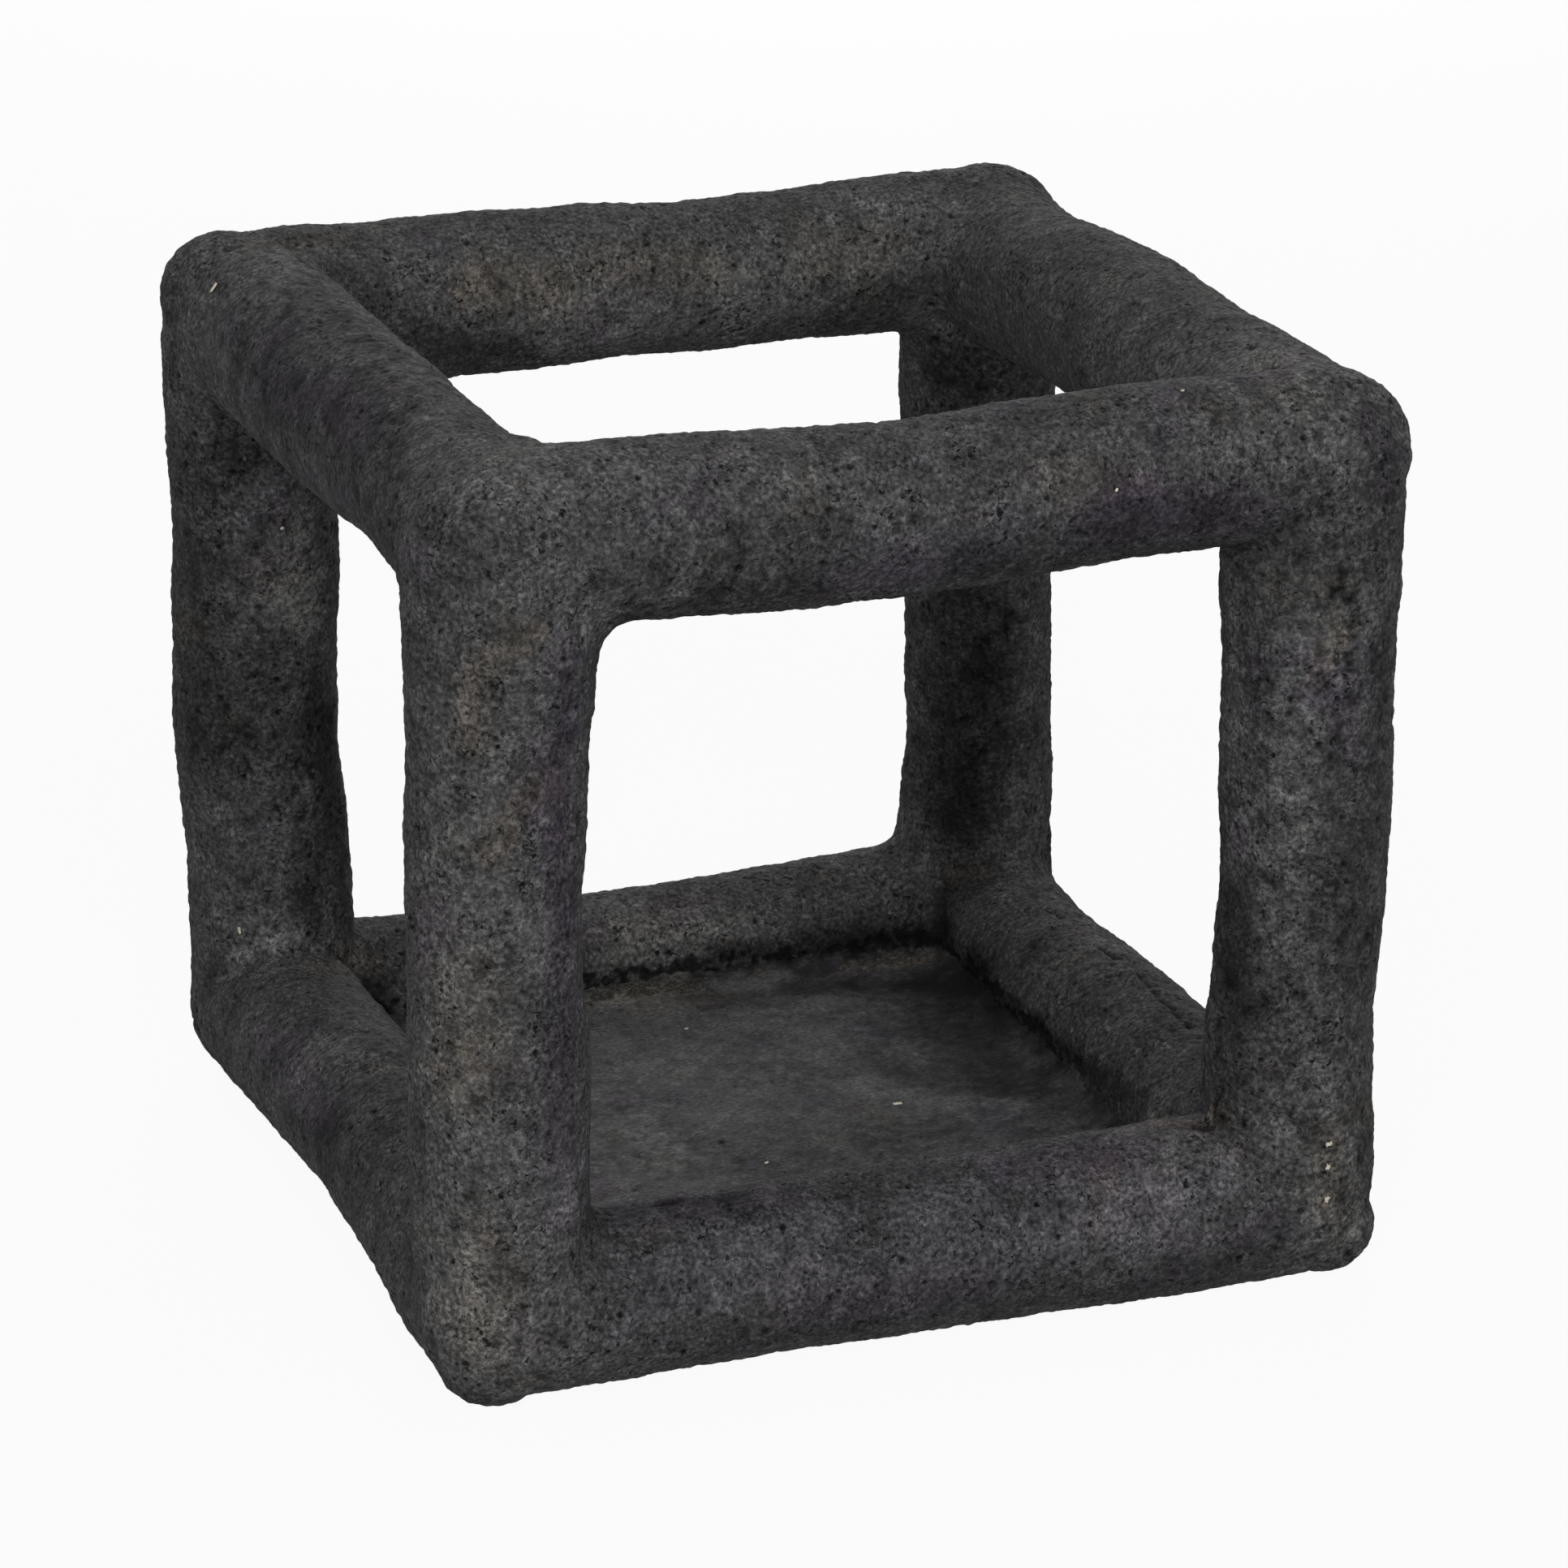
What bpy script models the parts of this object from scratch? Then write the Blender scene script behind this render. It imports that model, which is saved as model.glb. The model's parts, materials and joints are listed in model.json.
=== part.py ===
"""Open cube stand in papier-mache: twelve thick round bars around a recessed square floor.

Each bar is a card tube inside a jacket of paper pulp. The posts run the full height and the rails
butt into them. Units are metres and +Z is up. X runs along the front face to the right, Y runs to
the back, and the origin is on the ground under the middle of the cube.
"""

import math

import bmesh
import bpy
from mathutils import Vector

# Overall size, measured outside to outside
WIDTH = 0.240
DEPTH = 0.240
HEIGHT = 0.226

# Bars
BAR_DIAMETER = 0.040
POST_TUBE_DIAMETER = 0.028
RAIL_TUBE_DIAMETER = 0.026
TUBE_WALL = 0.002
INNER_FILLET = 0.007
TOP_ROUNDING = 0.017
FOOT_ROUNDING = 0.011

# Floor: a card board held in grooves, with a coat of pulp on both faces
FLOOR_TOP = 0.017
COAT_THICKNESS = 0.003
BOARD_THICKNESS = 0.003
GROOVE_DEPTH = 0.003

# The glue line between any two pieces, and the web of pulp that a post keeps between the tubes of
# its two rails
GLUE = 0.0003
WEB = 0.001

# Hand-laid form: how far each corner joint sits inside its true place, along X and Y
CORNER_INSETS = {
    "front_right_bottom": (0.002, 0.0),
    "back_left_bottom": (0.0015, 0.0),
}

# Hand-laid form: how far the pulp of a bar bows at mid-span, along X, Y and Z
BOWS = {
    "post_front_left": (-0.001, 0.0, 0.0),
    "post_back_left": (-0.001, 0.0, 0.0),
    "front_top_rail": (0.0, 0.0, -0.0015),
    "right_top_rail": (0.0, 0.0, -0.001),
    "left_bottom_rail": (0.001, 0.0, 0.003),
}

# Hand-laid form: how much a bar's radius gains, or loses, at mid-span
SWELLS = {
    "post_back_left": 0.0005,
    "post_back_right": -0.0008,
    "back_top_rail": -0.0012,
    "left_top_rail": -0.0008,
    "right_top_rail": -0.0005,
    "front_bottom_rail": -0.0005,
    "back_bottom_rail": -0.0015,
    "left_bottom_rail": -0.0008,
    "right_bottom_rail": -0.001,
}

# Facets: sides of a bar, steps of a rounding and of a plain span, and where a rail has rings
# beside a post, as shares of the post's radius and then of the fillet
SIDES = 16
ARC_STEPS = 4
SPAN_STEPS = 4
FLANK_STATIONS = (0.0, 0.7, 0.87)
FILLET_STATIONS = (0.0, 0.12, 0.4, 1.0)
SMOOTH_ANGLE = math.radians(40)

# The least flat left in the middle of a rounded post end
LEAST_FLAT = 0.001

# Colours (linear), roughness
PULP = ((0.042, 0.041, 0.042), 0.95)
FLOOR_PULP = ((0.038, 0.037, 0.037), 0.92)
CARD = ((0.22, 0.15, 0.09), 0.9)
BOARD = ((0.20, 0.145, 0.095), 0.9)

BAR_RADIUS = BAR_DIAMETER / 2

# How far the end of a rail's jacket, socket and tube each stay from the diagonal of a corner
MITRE_GAPS = {"jacket": GLUE / 2, "socket": WEB / 2, "tube": WEB / 2 + GLUE}

X, Y, Z = range(3)
SIGN = {"left": -1, "right": 1, "front": -1, "back": 1, "bottom": -1, "top": 1}
LEVELS = ("bottom", "top")


def clear_scene():
    for old in list(bpy.data.objects):
        bpy.data.objects.remove(old, do_unlink=True)


def make_material(name, look):
    colour, roughness = look
    material = bpy.data.materials.new(name)
    material.use_nodes = True
    shader = material.node_tree.nodes["Principled BSDF"]
    shader.inputs["Base Color"].default_value = (*colour, 1.0)
    shader.inputs["Roughness"].default_value = roughness
    shader.inputs["Metallic"].default_value = 0.0
    return material


def corner(end, side, level):
    """Where the axes of three bars cross, for example at front, left, bottom."""
    inset_x, inset_y = CORNER_INSETS.get(f"{end}_{side}_{level}", (0.0, 0.0))
    return Vector((
        SIGN[side] * (WIDTH / 2 - BAR_RADIUS - inset_x),
        SIGN[end] * (DEPTH / 2 - BAR_RADIUS - inset_y),
        BAR_RADIUS if level == "bottom" else HEIGHT - BAR_RADIUS,
    ))


class Bar:
    """One bar: its name, its main axis, the two corners it joins and its hand-laid form."""

    def __init__(self, name, axis, start, end, inward=Vector()):
        self.name = name
        self.axis = axis
        self.start = start
        self.end = end
        self.inward = inward
        self.bow = Vector(BOWS.get(name, (0.0, 0.0, 0.0)))
        self.swell = SWELLS.get(name, 0.0)
        self.tube_radius = (POST_TUBE_DIAMETER if axis == Z else RAIL_TUBE_DIAMETER) / 2
        self.bore_radius = self.tube_radius + GLUE
        self.across = ((axis + 1) % 3, (axis + 2) % 3)

    def share(self, along):
        """How far along the bar a coordinate lies, from 0 at its start to 1 at its end."""
        return (along - self.start[self.axis]) / (self.end[self.axis] - self.start[self.axis])

    def belly(self, along):
        """0 at and beyond both corners, 1 at mid-span."""
        return math.sin(math.pi * min(max(self.share(along), 0.0), 1.0))

    def ring(self, along, radius, laid=0.0, from_post=None):
        """Points around the bar at one place. Laid brings in the bow, and a rail's distance from
        its nearer post brings in the inner fillet."""
        centre = self.start.lerp(self.end, self.share(along)) + laid * self.bow
        points = []
        for step in range(SIDES):
            angle = 2 * math.pi * step / SIDES
            out = Vector()
            out[self.across[0]] = math.cos(angle)
            out[self.across[1]] = math.sin(angle)
            flare = 0.0 if from_post is None else self.flare(out, from_post)
            point = centre + out * (radius + flare)
            point[self.axis] = along
            points.append(point)
        return points

    def flare(self, out, from_post):
        """How far a fillet lifts a rail's surface, on the sides that face into the cube."""
        level = Y if self.axis == X else X
        flank = flank_at(out[level])
        if out[level] * self.inward[level] > 0:
            flank = max(flank, flank_at(out.z))
        facing = sum(max(out[a] * self.inward[a], 0.0) ** 2 for a in self.across)
        return facing * fillet_height(from_post - flank)

    def jacket_ring(self, along, grow, shrink=0.0, from_post=None):
        """A ring on the outside of the pulp. Shrink pulls it in, as on a rounded end."""
        belly = self.belly(along)
        radius = BAR_RADIUS + self.swell * belly + grow - shrink
        return self.ring(along, radius, belly, from_post)


def flank_at(share):
    """Half the width of a round bar, at this share of its radius off its middle."""
    return BAR_RADIUS * math.sqrt(max(1.0 - share**2, 0.0))


def fillet_height(distance):
    """Height of the inner fillet at a distance from the flank that it runs up."""
    if distance >= INNER_FILLET:
        return 0.0
    short = INNER_FILLET - max(distance, 0.0)
    return INNER_FILLET - math.sqrt(INNER_FILLET**2 - short**2)


def rail_rings(bar, grow=0.0):
    """The outside of a rail from corner to corner, with a fillet at both ends."""
    first, last = bar.start[bar.axis], bar.end[bar.axis]
    lead = [BAR_RADIUS * station for station in FLANK_STATIONS]
    lead += [BAR_RADIUS + INNER_FILLET * station for station in FILLET_STATIONS]
    low, high = first + lead[-1], last - lead[-1]
    span = [low + (high - low) * step / SPAN_STEPS for step in range(1, SPAN_STEPS)]
    places = [*(first + d for d in lead), *span, *(last - d for d in reversed(lead))]
    return [bar.jacket_ring(at, grow, 0.0, min(at - first, last - at)) for at in places]


def post_rings(bar, grow=0.0):
    """The outside of a post from its flat foot to its rounded top."""
    bottom = bar.start.z - BAR_RADIUS - grow
    top = bar.end.z + BAR_RADIUS + grow
    most = BAR_RADIUS - LEAST_FLAT
    foot, head = min(FOOT_ROUNDING, most), min(TOP_ROUNDING, most)
    quarter = [math.pi / 2 * step / ARC_STEPS for step in range(ARC_STEPS + 1)]
    rings = []
    for angle in quarter:
        along = bottom + foot * (1 - math.sin(angle))
        rings.insert(0, bar.jacket_ring(along, grow, foot * (1 - math.cos(angle))))
    low, high = bottom + foot, top - head
    for step in range(1, SPAN_STEPS):
        rings.append(bar.jacket_ring(low + (high - low) * step / SPAN_STEPS, grow))
    for angle in quarter:
        along = top - head * (1 - math.sin(angle))
        rings.append(bar.jacket_ring(along, grow, head * (1 - math.cos(angle))))
    return rings


def rod_rings(bar, radius, low, high):
    """A straight rod on the bar's axis, between two places along it."""
    return [bar.ring(low, radius), bar.ring(high, radius)]


def tube_span(bar):
    """Where a bar's tube starts and ends: a post's reaches the far side of the rails' tubes."""
    reach = RAIL_TUBE_DIAMETER / 2 if bar.axis == Z else 0.0
    return bar.start[bar.axis] - reach, bar.end[bar.axis] + reach


def skin(rings, loop):
    """A closed mesh through rings of points: capped at both ends, or a loop back to the first."""
    mesh = bmesh.new()
    rows = [[mesh.verts.new(point) for point in ring] for ring in rings]
    pairs = list(zip(rows, rows[1:]))
    if loop:
        pairs.append((rows[-1], rows[0]))
    else:
        mesh.faces.new(reversed(rows[0]))
        mesh.faces.new(rows[-1])
    for row, following in pairs:
        for i in range(len(row)):
            j = (i + 1) % len(row)
            mesh.faces.new((row[i], row[j], following[j], following[i]))
    return mesh


def prism(bottom, top):
    """A closed prism between two outlines."""
    return skin([bottom, top], False)


def box(half_x, half_y, low, high):
    corners = [(-half_x, -half_y), (half_x, -half_y), (half_x, half_y), (-half_x, half_y)]
    return prism([Vector((x, y, low)) for x, y in corners], [Vector((x, y, high)) for x, y in corners])


def add_object(name, mesh, origin, parent):
    """Turns a mesh made in world space into an object with its own origin.

    The skewed faces of a bowed bar become triangles, so that each cut meets flat faces only.
    """
    bmesh.ops.recalc_face_normals(mesh, faces=mesh.faces)
    bmesh.ops.triangulate(mesh, faces=[face for face in mesh.faces if len(face.verts) == 4])
    bmesh.ops.translate(mesh, vec=-origin, verts=mesh.verts)
    data = bpy.data.meshes.new(name)
    mesh.to_mesh(data)
    mesh.free()
    data.shade_smooth()
    data.set_sharp_from_angle(angle=SMOOTH_ANGLE)
    made = bpy.data.objects.new(name, data)
    bpy.context.scene.collection.objects.link(made)
    made.parent = parent
    made.location = origin
    return made


def add_piece(name, mesh, origin, parent, material):
    piece = add_object(name, mesh, origin, parent)
    piece.data.materials.append(material)
    return piece


def add_cutter(name, mesh, parent):
    cutter = add_object(name, mesh, Vector(), parent)
    cutter.hide_render = True
    cutter.display_type = "WIRE"
    return cutter


def cut(piece, cutters):
    for cutter in cutters:
        modifier = piece.modifiers.new(cutter.name, "BOOLEAN")
        modifier.operation = "DIFFERENCE"
        modifier.solver = "EXACT"
        modifier.object = cutter


def mitre_mesh(post, end, side, rail_axis, gap):
    """The space past the diagonal of a corner, less a gap, which a rail along that axis gives up."""
    reach = BAR_DIAMETER
    nudge = gap * math.sqrt(2)
    outline = [(nudge, 0.0), (nudge + reach, reach), (-reach, reach), (-reach, 0.0)]
    outlines = []
    for place, level in ((post.start, -BAR_DIAMETER), (post.end, HEIGHT + BAR_DIAMETER)):
        points = []
        for along, aside in outline:
            u, v = (along, aside) if rail_axis == X else (aside, along)
            points.append(Vector((place.x - SIGN[side] * u, place.y - SIGN[end] * v, level)))
        outlines.append(points)
    return prism(*outlines)


def lay_out_posts():
    posts = {}
    for end in ("front", "back"):
        for side in ("left", "right"):
            name = f"post_{end}_{side}"
            posts[end, side] = Bar(name, Z, corner(end, side, "bottom"), corner(end, side, "top"))
    return posts


def lay_out_rails():
    """Each rail with the two posts that it runs between."""
    rails = []
    for level in LEVELS:
        up = -SIGN[level]
        for end in ("front", "back"):
            inward = Vector((0, -SIGN[end], up))
            ends = corner(end, "left", level), corner(end, "right", level)
            rails.append((Bar(f"{end}_{level}_rail", X, *ends, inward), (end, "left"), (end, "right")))
        for side in ("left", "right"):
            inward = Vector((-SIGN[side], 0, up))
            ends = corner("front", side, level), corner("back", side, level)
            rails.append((Bar(f"{side}_{level}_rail", Y, *ends, inward), ("front", side), ("back", side)))
    return rails


def add_tube(bar, parent, material):
    """The card tube inside a bar, open at both ends."""
    low, high = tube_span(bar)
    outside = rod_rings(bar, bar.tube_radius, low, high)
    inside = rod_rings(bar, bar.tube_radius - TUBE_WALL, low, high)
    mesh = skin(outside + inside[::-1], True)
    return add_piece(f"{bar.name}_tube", mesh, bar.start, parent, material)


def add_joint_cutters(posts, parent):
    """At each post: the bore for its tube, the form that rails are coped to, and the mitres."""
    bores, copes, mitres = {}, {}, {}
    for place, post in posts.items():
        low, high = tube_span(post)
        bore = skin(rod_rings(post, post.bore_radius, low - GLUE, high + GLUE), False)
        bores[place] = add_cutter(f"{post.name}_bore_cut", bore, parent)
        cope = skin(post_rings(post, GLUE), False)
        copes[place] = add_cutter(f"{post.name}_cope_cut", cope, parent)
        for axis, letter in ((X, "x"), (Y, "y")):
            for part, gap in MITRE_GAPS.items():
                mitre = mitre_mesh(post, *place, axis, gap)
                name = f"{post.name}_{part}_mitre_cut_{letter}"
                mitres[*place, axis, part] = add_cutter(name, mitre, parent)
    return bores, copes, mitres


def add_rail(rail, cope_cutters, tube_cutters, parent, pulp, card):
    """A jacket with a bore right through it, and its tube, both shaped to the posts."""
    bore = rod_rings(rail, rail.bore_radius, *tube_span(rail))
    jacket = add_piece(rail.name, skin(rail_rings(rail) + bore[::-1], True), rail.start, parent, pulp)
    cut(jacket, cope_cutters)
    cut(add_tube(rail, parent, card), tube_cutters)


def add_post(post, cutters, parent, pulp, card):
    """A closed jacket with a bore for its tube and a socket for each rail's tube."""
    jacket = add_piece(post.name, skin(post_rings(post), False), post.start, parent, pulp)
    cut(jacket, cutters)
    add_tube(post, parent, card)


def add_floor(rail_forms, parent, pulp, card):
    """The board and its two coats, which stop at the rails. Returns the groove for the board."""
    board_top = FLOOR_TOP - COAT_THICKNESS - GLUE
    board_bottom = board_top - BOARD_THICKNESS
    half_x = WIDTH / 2 - BAR_DIAMETER + GROOVE_DEPTH
    half_y = DEPTH / 2 - BAR_DIAMETER + GROOVE_DEPTH
    board = box(half_x, half_y, board_bottom, board_top)
    add_piece("floor_board", board, Vector((0, 0, board_top)), parent, card)
    for name, top in (("floor_top_coat", FLOOR_TOP), ("floor_under_coat", board_bottom - GLUE)):
        mesh = box(WIDTH / 2 - BAR_RADIUS, DEPTH / 2 - BAR_RADIUS, top - COAT_THICKNESS, top)
        cut(add_piece(name, mesh, Vector((0, 0, top)), parent, pulp), rail_forms)
    groove = box(half_x + GLUE, half_y + GLUE, board_bottom - GLUE, board_top + GLUE)
    return add_cutter("groove_cut", groove, parent)


def build():
    clear_scene()
    stand = bpy.data.objects.new("open_cube_stand", None)
    bpy.context.scene.collection.objects.link(stand)
    pulp = make_material("charcoal_pulp", PULP)
    floor_pulp = make_material("floor_pulp", FLOOR_PULP)
    card = make_material("tube_card", CARD)
    board_card = make_material("board_card", BOARD)

    posts = lay_out_posts()
    rails = lay_out_rails()
    bores, copes, mitres = add_joint_cutters(posts, stand)

    bottom_rails = [rail for rail, *_ in rails if rail.inward.z > 0]
    rail_forms = []
    for rail in bottom_rails:
        form = skin(rail_rings(rail, GLUE), False)
        rail_forms.append(add_cutter(f"{rail.name}_form_cut", form, stand))
    groove = add_floor(rail_forms, stand, floor_pulp, board_card)

    sockets = {place: [] for place in posts}
    for rail, *places in rails:
        cope_cutters, tube_cutters = [], []
        socket = skin(rod_rings(rail, rail.bore_radius, *tube_span(rail)), False)
        socket_cutter = add_cutter(f"{rail.name}_socket_cut", socket, stand)
        for place in places:
            sockets[place].append(socket_cutter)
            cut(socket_cutter, [mitres[*place, rail.axis, "socket"]])
            cope_cutters += [copes[place], mitres[*place, rail.axis, "jacket"]]
            tube_cutters += [bores[place], mitres[*place, rail.axis, "tube"]]
        if rail in bottom_rails:
            cope_cutters.append(groove)
        add_rail(rail, cope_cutters, tube_cutters, stand, pulp, card)
    for place, post in posts.items():
        add_post(post, [bores[place], *sockets[place], groove], stand, pulp, card)


build()
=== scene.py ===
"""Looks for the open cube stand: a rough skin of charcoal paper pulp over its bars and floor.

The twelve bars are described as distances from their middles, melted together where they meet and
drawn as one net of small squares. The net is roughened and then shared out, one piece to a bar, so
no seam shows between the pieces.
"""

import itertools
import json
import math
import random

import bmesh
import bpy
import numpy as np
from mathutils import Matrix, Vector

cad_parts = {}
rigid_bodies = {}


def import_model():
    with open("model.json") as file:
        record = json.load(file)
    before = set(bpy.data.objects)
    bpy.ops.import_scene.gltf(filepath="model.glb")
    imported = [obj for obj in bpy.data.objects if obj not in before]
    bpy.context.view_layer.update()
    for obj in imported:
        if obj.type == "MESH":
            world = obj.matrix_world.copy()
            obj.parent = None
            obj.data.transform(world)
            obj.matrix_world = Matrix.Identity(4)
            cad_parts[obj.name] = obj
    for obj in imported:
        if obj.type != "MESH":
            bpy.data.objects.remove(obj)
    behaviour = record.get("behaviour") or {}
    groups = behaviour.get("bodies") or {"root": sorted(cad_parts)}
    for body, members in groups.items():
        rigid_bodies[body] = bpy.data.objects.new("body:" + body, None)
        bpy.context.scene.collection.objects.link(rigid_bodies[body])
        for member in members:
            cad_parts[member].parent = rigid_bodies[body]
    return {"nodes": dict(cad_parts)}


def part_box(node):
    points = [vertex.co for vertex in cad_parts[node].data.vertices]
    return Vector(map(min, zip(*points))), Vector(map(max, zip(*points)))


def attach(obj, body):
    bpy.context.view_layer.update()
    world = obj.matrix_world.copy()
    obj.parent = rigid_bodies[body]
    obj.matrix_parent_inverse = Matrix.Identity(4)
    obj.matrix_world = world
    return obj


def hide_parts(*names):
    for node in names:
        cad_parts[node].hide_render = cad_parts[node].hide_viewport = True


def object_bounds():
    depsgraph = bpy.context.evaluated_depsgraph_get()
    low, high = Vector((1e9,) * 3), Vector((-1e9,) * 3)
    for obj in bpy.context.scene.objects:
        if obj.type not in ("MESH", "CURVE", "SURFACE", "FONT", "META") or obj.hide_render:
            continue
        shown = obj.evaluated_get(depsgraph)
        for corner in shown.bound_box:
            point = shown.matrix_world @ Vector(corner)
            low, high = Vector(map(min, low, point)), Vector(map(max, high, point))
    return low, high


for old in list(bpy.data.objects):
    bpy.data.objects.remove(old, do_unlink=True)
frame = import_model()
CAD_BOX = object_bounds()

MM = 0.001
X, Y, Z = range(3)

# Camera: place, turn and lens, for a square picture of this many pixels
PICTURE = 1932
CAMERA_PLACE = (-0.4810, -1.2825, 0.6029)
CAMERA_AZIMUTH = -20.82
CAMERA_ELEVATION = 20.06
CAMERA_ROLL = 0.31
SENSOR = 36.0
LENS = 135.3

# Net of squares: its first size, which is halved once, how many times it is eased, and how far
# its points then go towards the middle of their neighbours
CELL = 1.2 * MM
EASE_ROUNDS, EASE = 3, 0.6

# Grid of distances: its margin round the object, how near the bars it is true, and a distance
# beyond all others
GRID_MARGIN = 4 * CELL
TRUE_BAND = 7 * MM
FAR = 1.0

# Noise: how many slopes it draws from, and the gain that brings it to about -1 to 1
NOISE_SLOPES, NOISE_GAIN = 256, 1.6

# Hand-laid form, in millimetres: how far some corners are from their true places
CORNER_SHIFTS = {
    ("front", "right", "bottom"): (-1.0, 0.0, 0.0),
    ("back", "left", "bottom"): (1.5, 0.0, 0.0),
}

# Lumps and hollows of each bar: the place along it from 0 to 1 and how far it spreads, then how far
# it shifts the bar's middle to the right and up, and how much it adds to its radius
LUMPS = {
    "left_bottom_rail": (
        (0.5, 0.3, 0.5, 3.2, -0.9), (0.5, 0.12, 0, 0.9, -0.4), (0.85, 0.08, 0, 0.4, -0.3),
        (0.25, 0.12, 0, 0.8, -1),
    ),
    "back_top_rail": (
        (0.6, 0.3, 0, 0.2, -1.1), (0.32, 0.14, 0, -0.2, 0.1), (0.04, 0.06, 0, 0.4, 0.4),
        (0.6, 0.1, 0, -0.9, 0), (0.72, 0.06, 0, -0.2, -0.4), (0.9, 0.08, 0, 0.4, 0.3),
        (0.16, 0.05, 0, -0.5, 0),
    ),
    "right_top_rail": (
        (0.86, 0.1, 0, -1.8, -0.9), (0.57, 0.12, 0.6, 0.8, 0.1), (0.74, 0.08, 0, -0.5, -0.3),
        (0.34, 0.06, 0, -0.6, -0.3),
    ),
    "front_top_rail": (
        (0.45, 0.18, 0, -1.9, -0.7), (0.1, 0.1, 0, 0, -0.1), (0.7, 0.1, 0, 0.6, -0.5),
        (0.85, 0.15, 0, 0.9, -0.8),
    ),
    "left_top_rail": ((0.25, 0.15, 0, 1, -1),),
    "post_back_left": (
        (0.65, 0.25, -1.3, 0, 0), (0.12, 0.2, 1, 0, 0.5), (0.95, 0.06, -0.5, 0, 0.5),
        (0.72, 0.1, 1.1, 0, 0), (0.43, 0.12, -0.9, 0, 0.1), (0.8, 0.12, -0.6, 0, 0),
        (0.55, 0.06, 0.1, 0, -0.6), (0.63, 0.16, 0.7, 0, 0.3), (0.02, 0.08, 0, 0, 0.5),
    ),
    "post_front_left": (
        (0.5, 0.3, -1, 0, 0), (0.65, 0.25, 0, 0, -0.7), (0.86, 0.09, 1.1, 0, 1.4),
        (0.67, 0.07, 0.1, 0, 0.9), (0.8, 0.08, 0.4, 0, 0), (0.57, 0.04, -0.4, 0, 0),
        (0.45, 0.06, -0.5, 0, -0.7),
    ),
    "post_front_right": (
        (0.92, 0.15, 0.3, 0, 0.7), (0.5, 0.6, 0.5, 0, -0.2), (0.08, 0.1, 0.4, 0, 0.3),
        (0.5, 0.17, 1.8, 0, 0), (0.4, 0.12, 0, 0, -0.9), (0.22, 0.1, -0.8, 0, -0.4),
        (0.68, 0.1, -0.3, 0, -0.4), (0.6, 0.1, -0.6, 0, 0.1),
    ),
    "post_back_right": (
        (0.5, 0.3, -0.3, 0, -1.1), (0.84, 0.12, -1.4, 0, 0.4), (0.28, 0.08, 1.2, 0, -0.5),
        (0.42, 0.12, 0.3, 0, 0.1),
    ),
    "back_bottom_rail": ((0.5, 0.3, 0, -1.9, -1.8), (0.1, 0.15, 0, -0.7, -0.5)),
    "right_bottom_rail": ((0.55, 0.12, 0, 0.2, 0), (0.78, 0.14, 0, -1.4, -1)),
    "front_bottom_rail": ((0.3, 0.28, 0, 0.3, -0.2), (0.92, 0.1, 0, -0.3, 0.5)),
}

# Swellings at corners and in their fillets: the corner, how far from it and the radius
KNOBS = (
    ("front", "right", "top", (3.6, -2.0, 0.9), 18.4),
    ("back", "left", "top", (-5.2, 0.0, 5.2), 17.0),
    ("back", "right", "top", (0.5, 0.5, 1.0), 20.5),
    ("front", "right", "bottom", (8.0, -5.0, -7.5), 12.8),
    ("front", "left", "bottom", (-4.5, -4.5, -7.0), 13.6),
    ("front", "left", "top", (0.0, 17.0, -17.0), 10.9),
    ("front", "left", "top", (17.0, 17.0, 0.0), 9.0),
    ("front", "left", "top", (10.5, 15.0, 9.0), 10.0),
)

# How much larger the bars' radius is than the height of the bottom rails' middles, in millimetres
PLUMP = 0.7

# How many millimetres nearer a post counts than a rail, where their skin is shared out
POST_CLAIM = 1.5

# Radius of the fillet on the inner side of each corner, and how many such radii the bars melt over
FILLET, MELT = 6.0, 1.17
FILLETS = {
    ("front", "left", "top"): 10.0,
    ("front", "right", "top"): 3.5,
    ("front", "right", "bottom"): 1.5,
    ("back", "left", "bottom"): 2.5,
}

# Unevenness: size of the features and their height, in millimetres, and the seed of each
WAVES = ((48.0, 0.60, 11), (20.0, 0.55, 12))
GRAIN = ((8.5, 0.28, 21), (3.4, 0.28, 22), (1.7, 0.26, 23))
FLOOR_GRAIN = ((30.0, 0.35, 31), (9.0, 0.12, 32), (2.6, 0.07, 33))

# Round pits: spacing, least and greatest radius in millimetres, share of places that have one, seed
PITS = (3.2, 0.5, 1.0, 0.4, 41)

# Noise that crowds the pits, how many draws place them, the factors that spread the draws, and
# where in its cell a pit's middle may lie: the first place and the room beyond it
PIT_CROWDS = ((16.0, 1.0, 47),)
PIT_DRAWS = 4096
PIT_FACTORS = (73856093, 19349663, 83492791)
PIT_FIRST, PIT_ROOM = 0.2, 0.6

# How much darker a pit is painted than its surface, as painted shade, and the depth in millimetres
# where it is darkest
PIT_PAINTED_SHADE, PIT_DARK_DEPTH = 0.85, 0.5

# Ragged hollows: how rare they are on the bars, on the floor and on the most hollowed bars, their
# layers of noise, how steep their sides are, their depth in millimetres and how much darker they are
# painted, as painted shade
HOLLOWS, FLOOR_HOLLOWS = 0.52, 0.95
HOLLOWED = {"post_back_left": 0.36, "post_back_right": 0.40}
HOLLOW_FORM = ((2.1, 0.75, 44), (4.6, 0.45, 45), (22.0, 0.35, 46))
HOLLOW_SLOPE, HOLLOW_DEPTH, HOLLOW_PAINTED_SHADE = 2.2, 0.8, 0.72

# Noise on the edges of patches and marks, how far it pushes the edges and how steep they are. For
# marks also how strong they are at the edge, and how many half widths away they are looked for
RAGGED = ((2.2, 0.5, 71), (6.0, 0.55, 72))
PATCH_RAGGED, PATCH_SLOPE = 0.6, 3
MARK_RAGGED, MARK_SLOPE, MARK_EDGE, MARK_REACH = 0.5, 2, 0.3, 3

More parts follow.
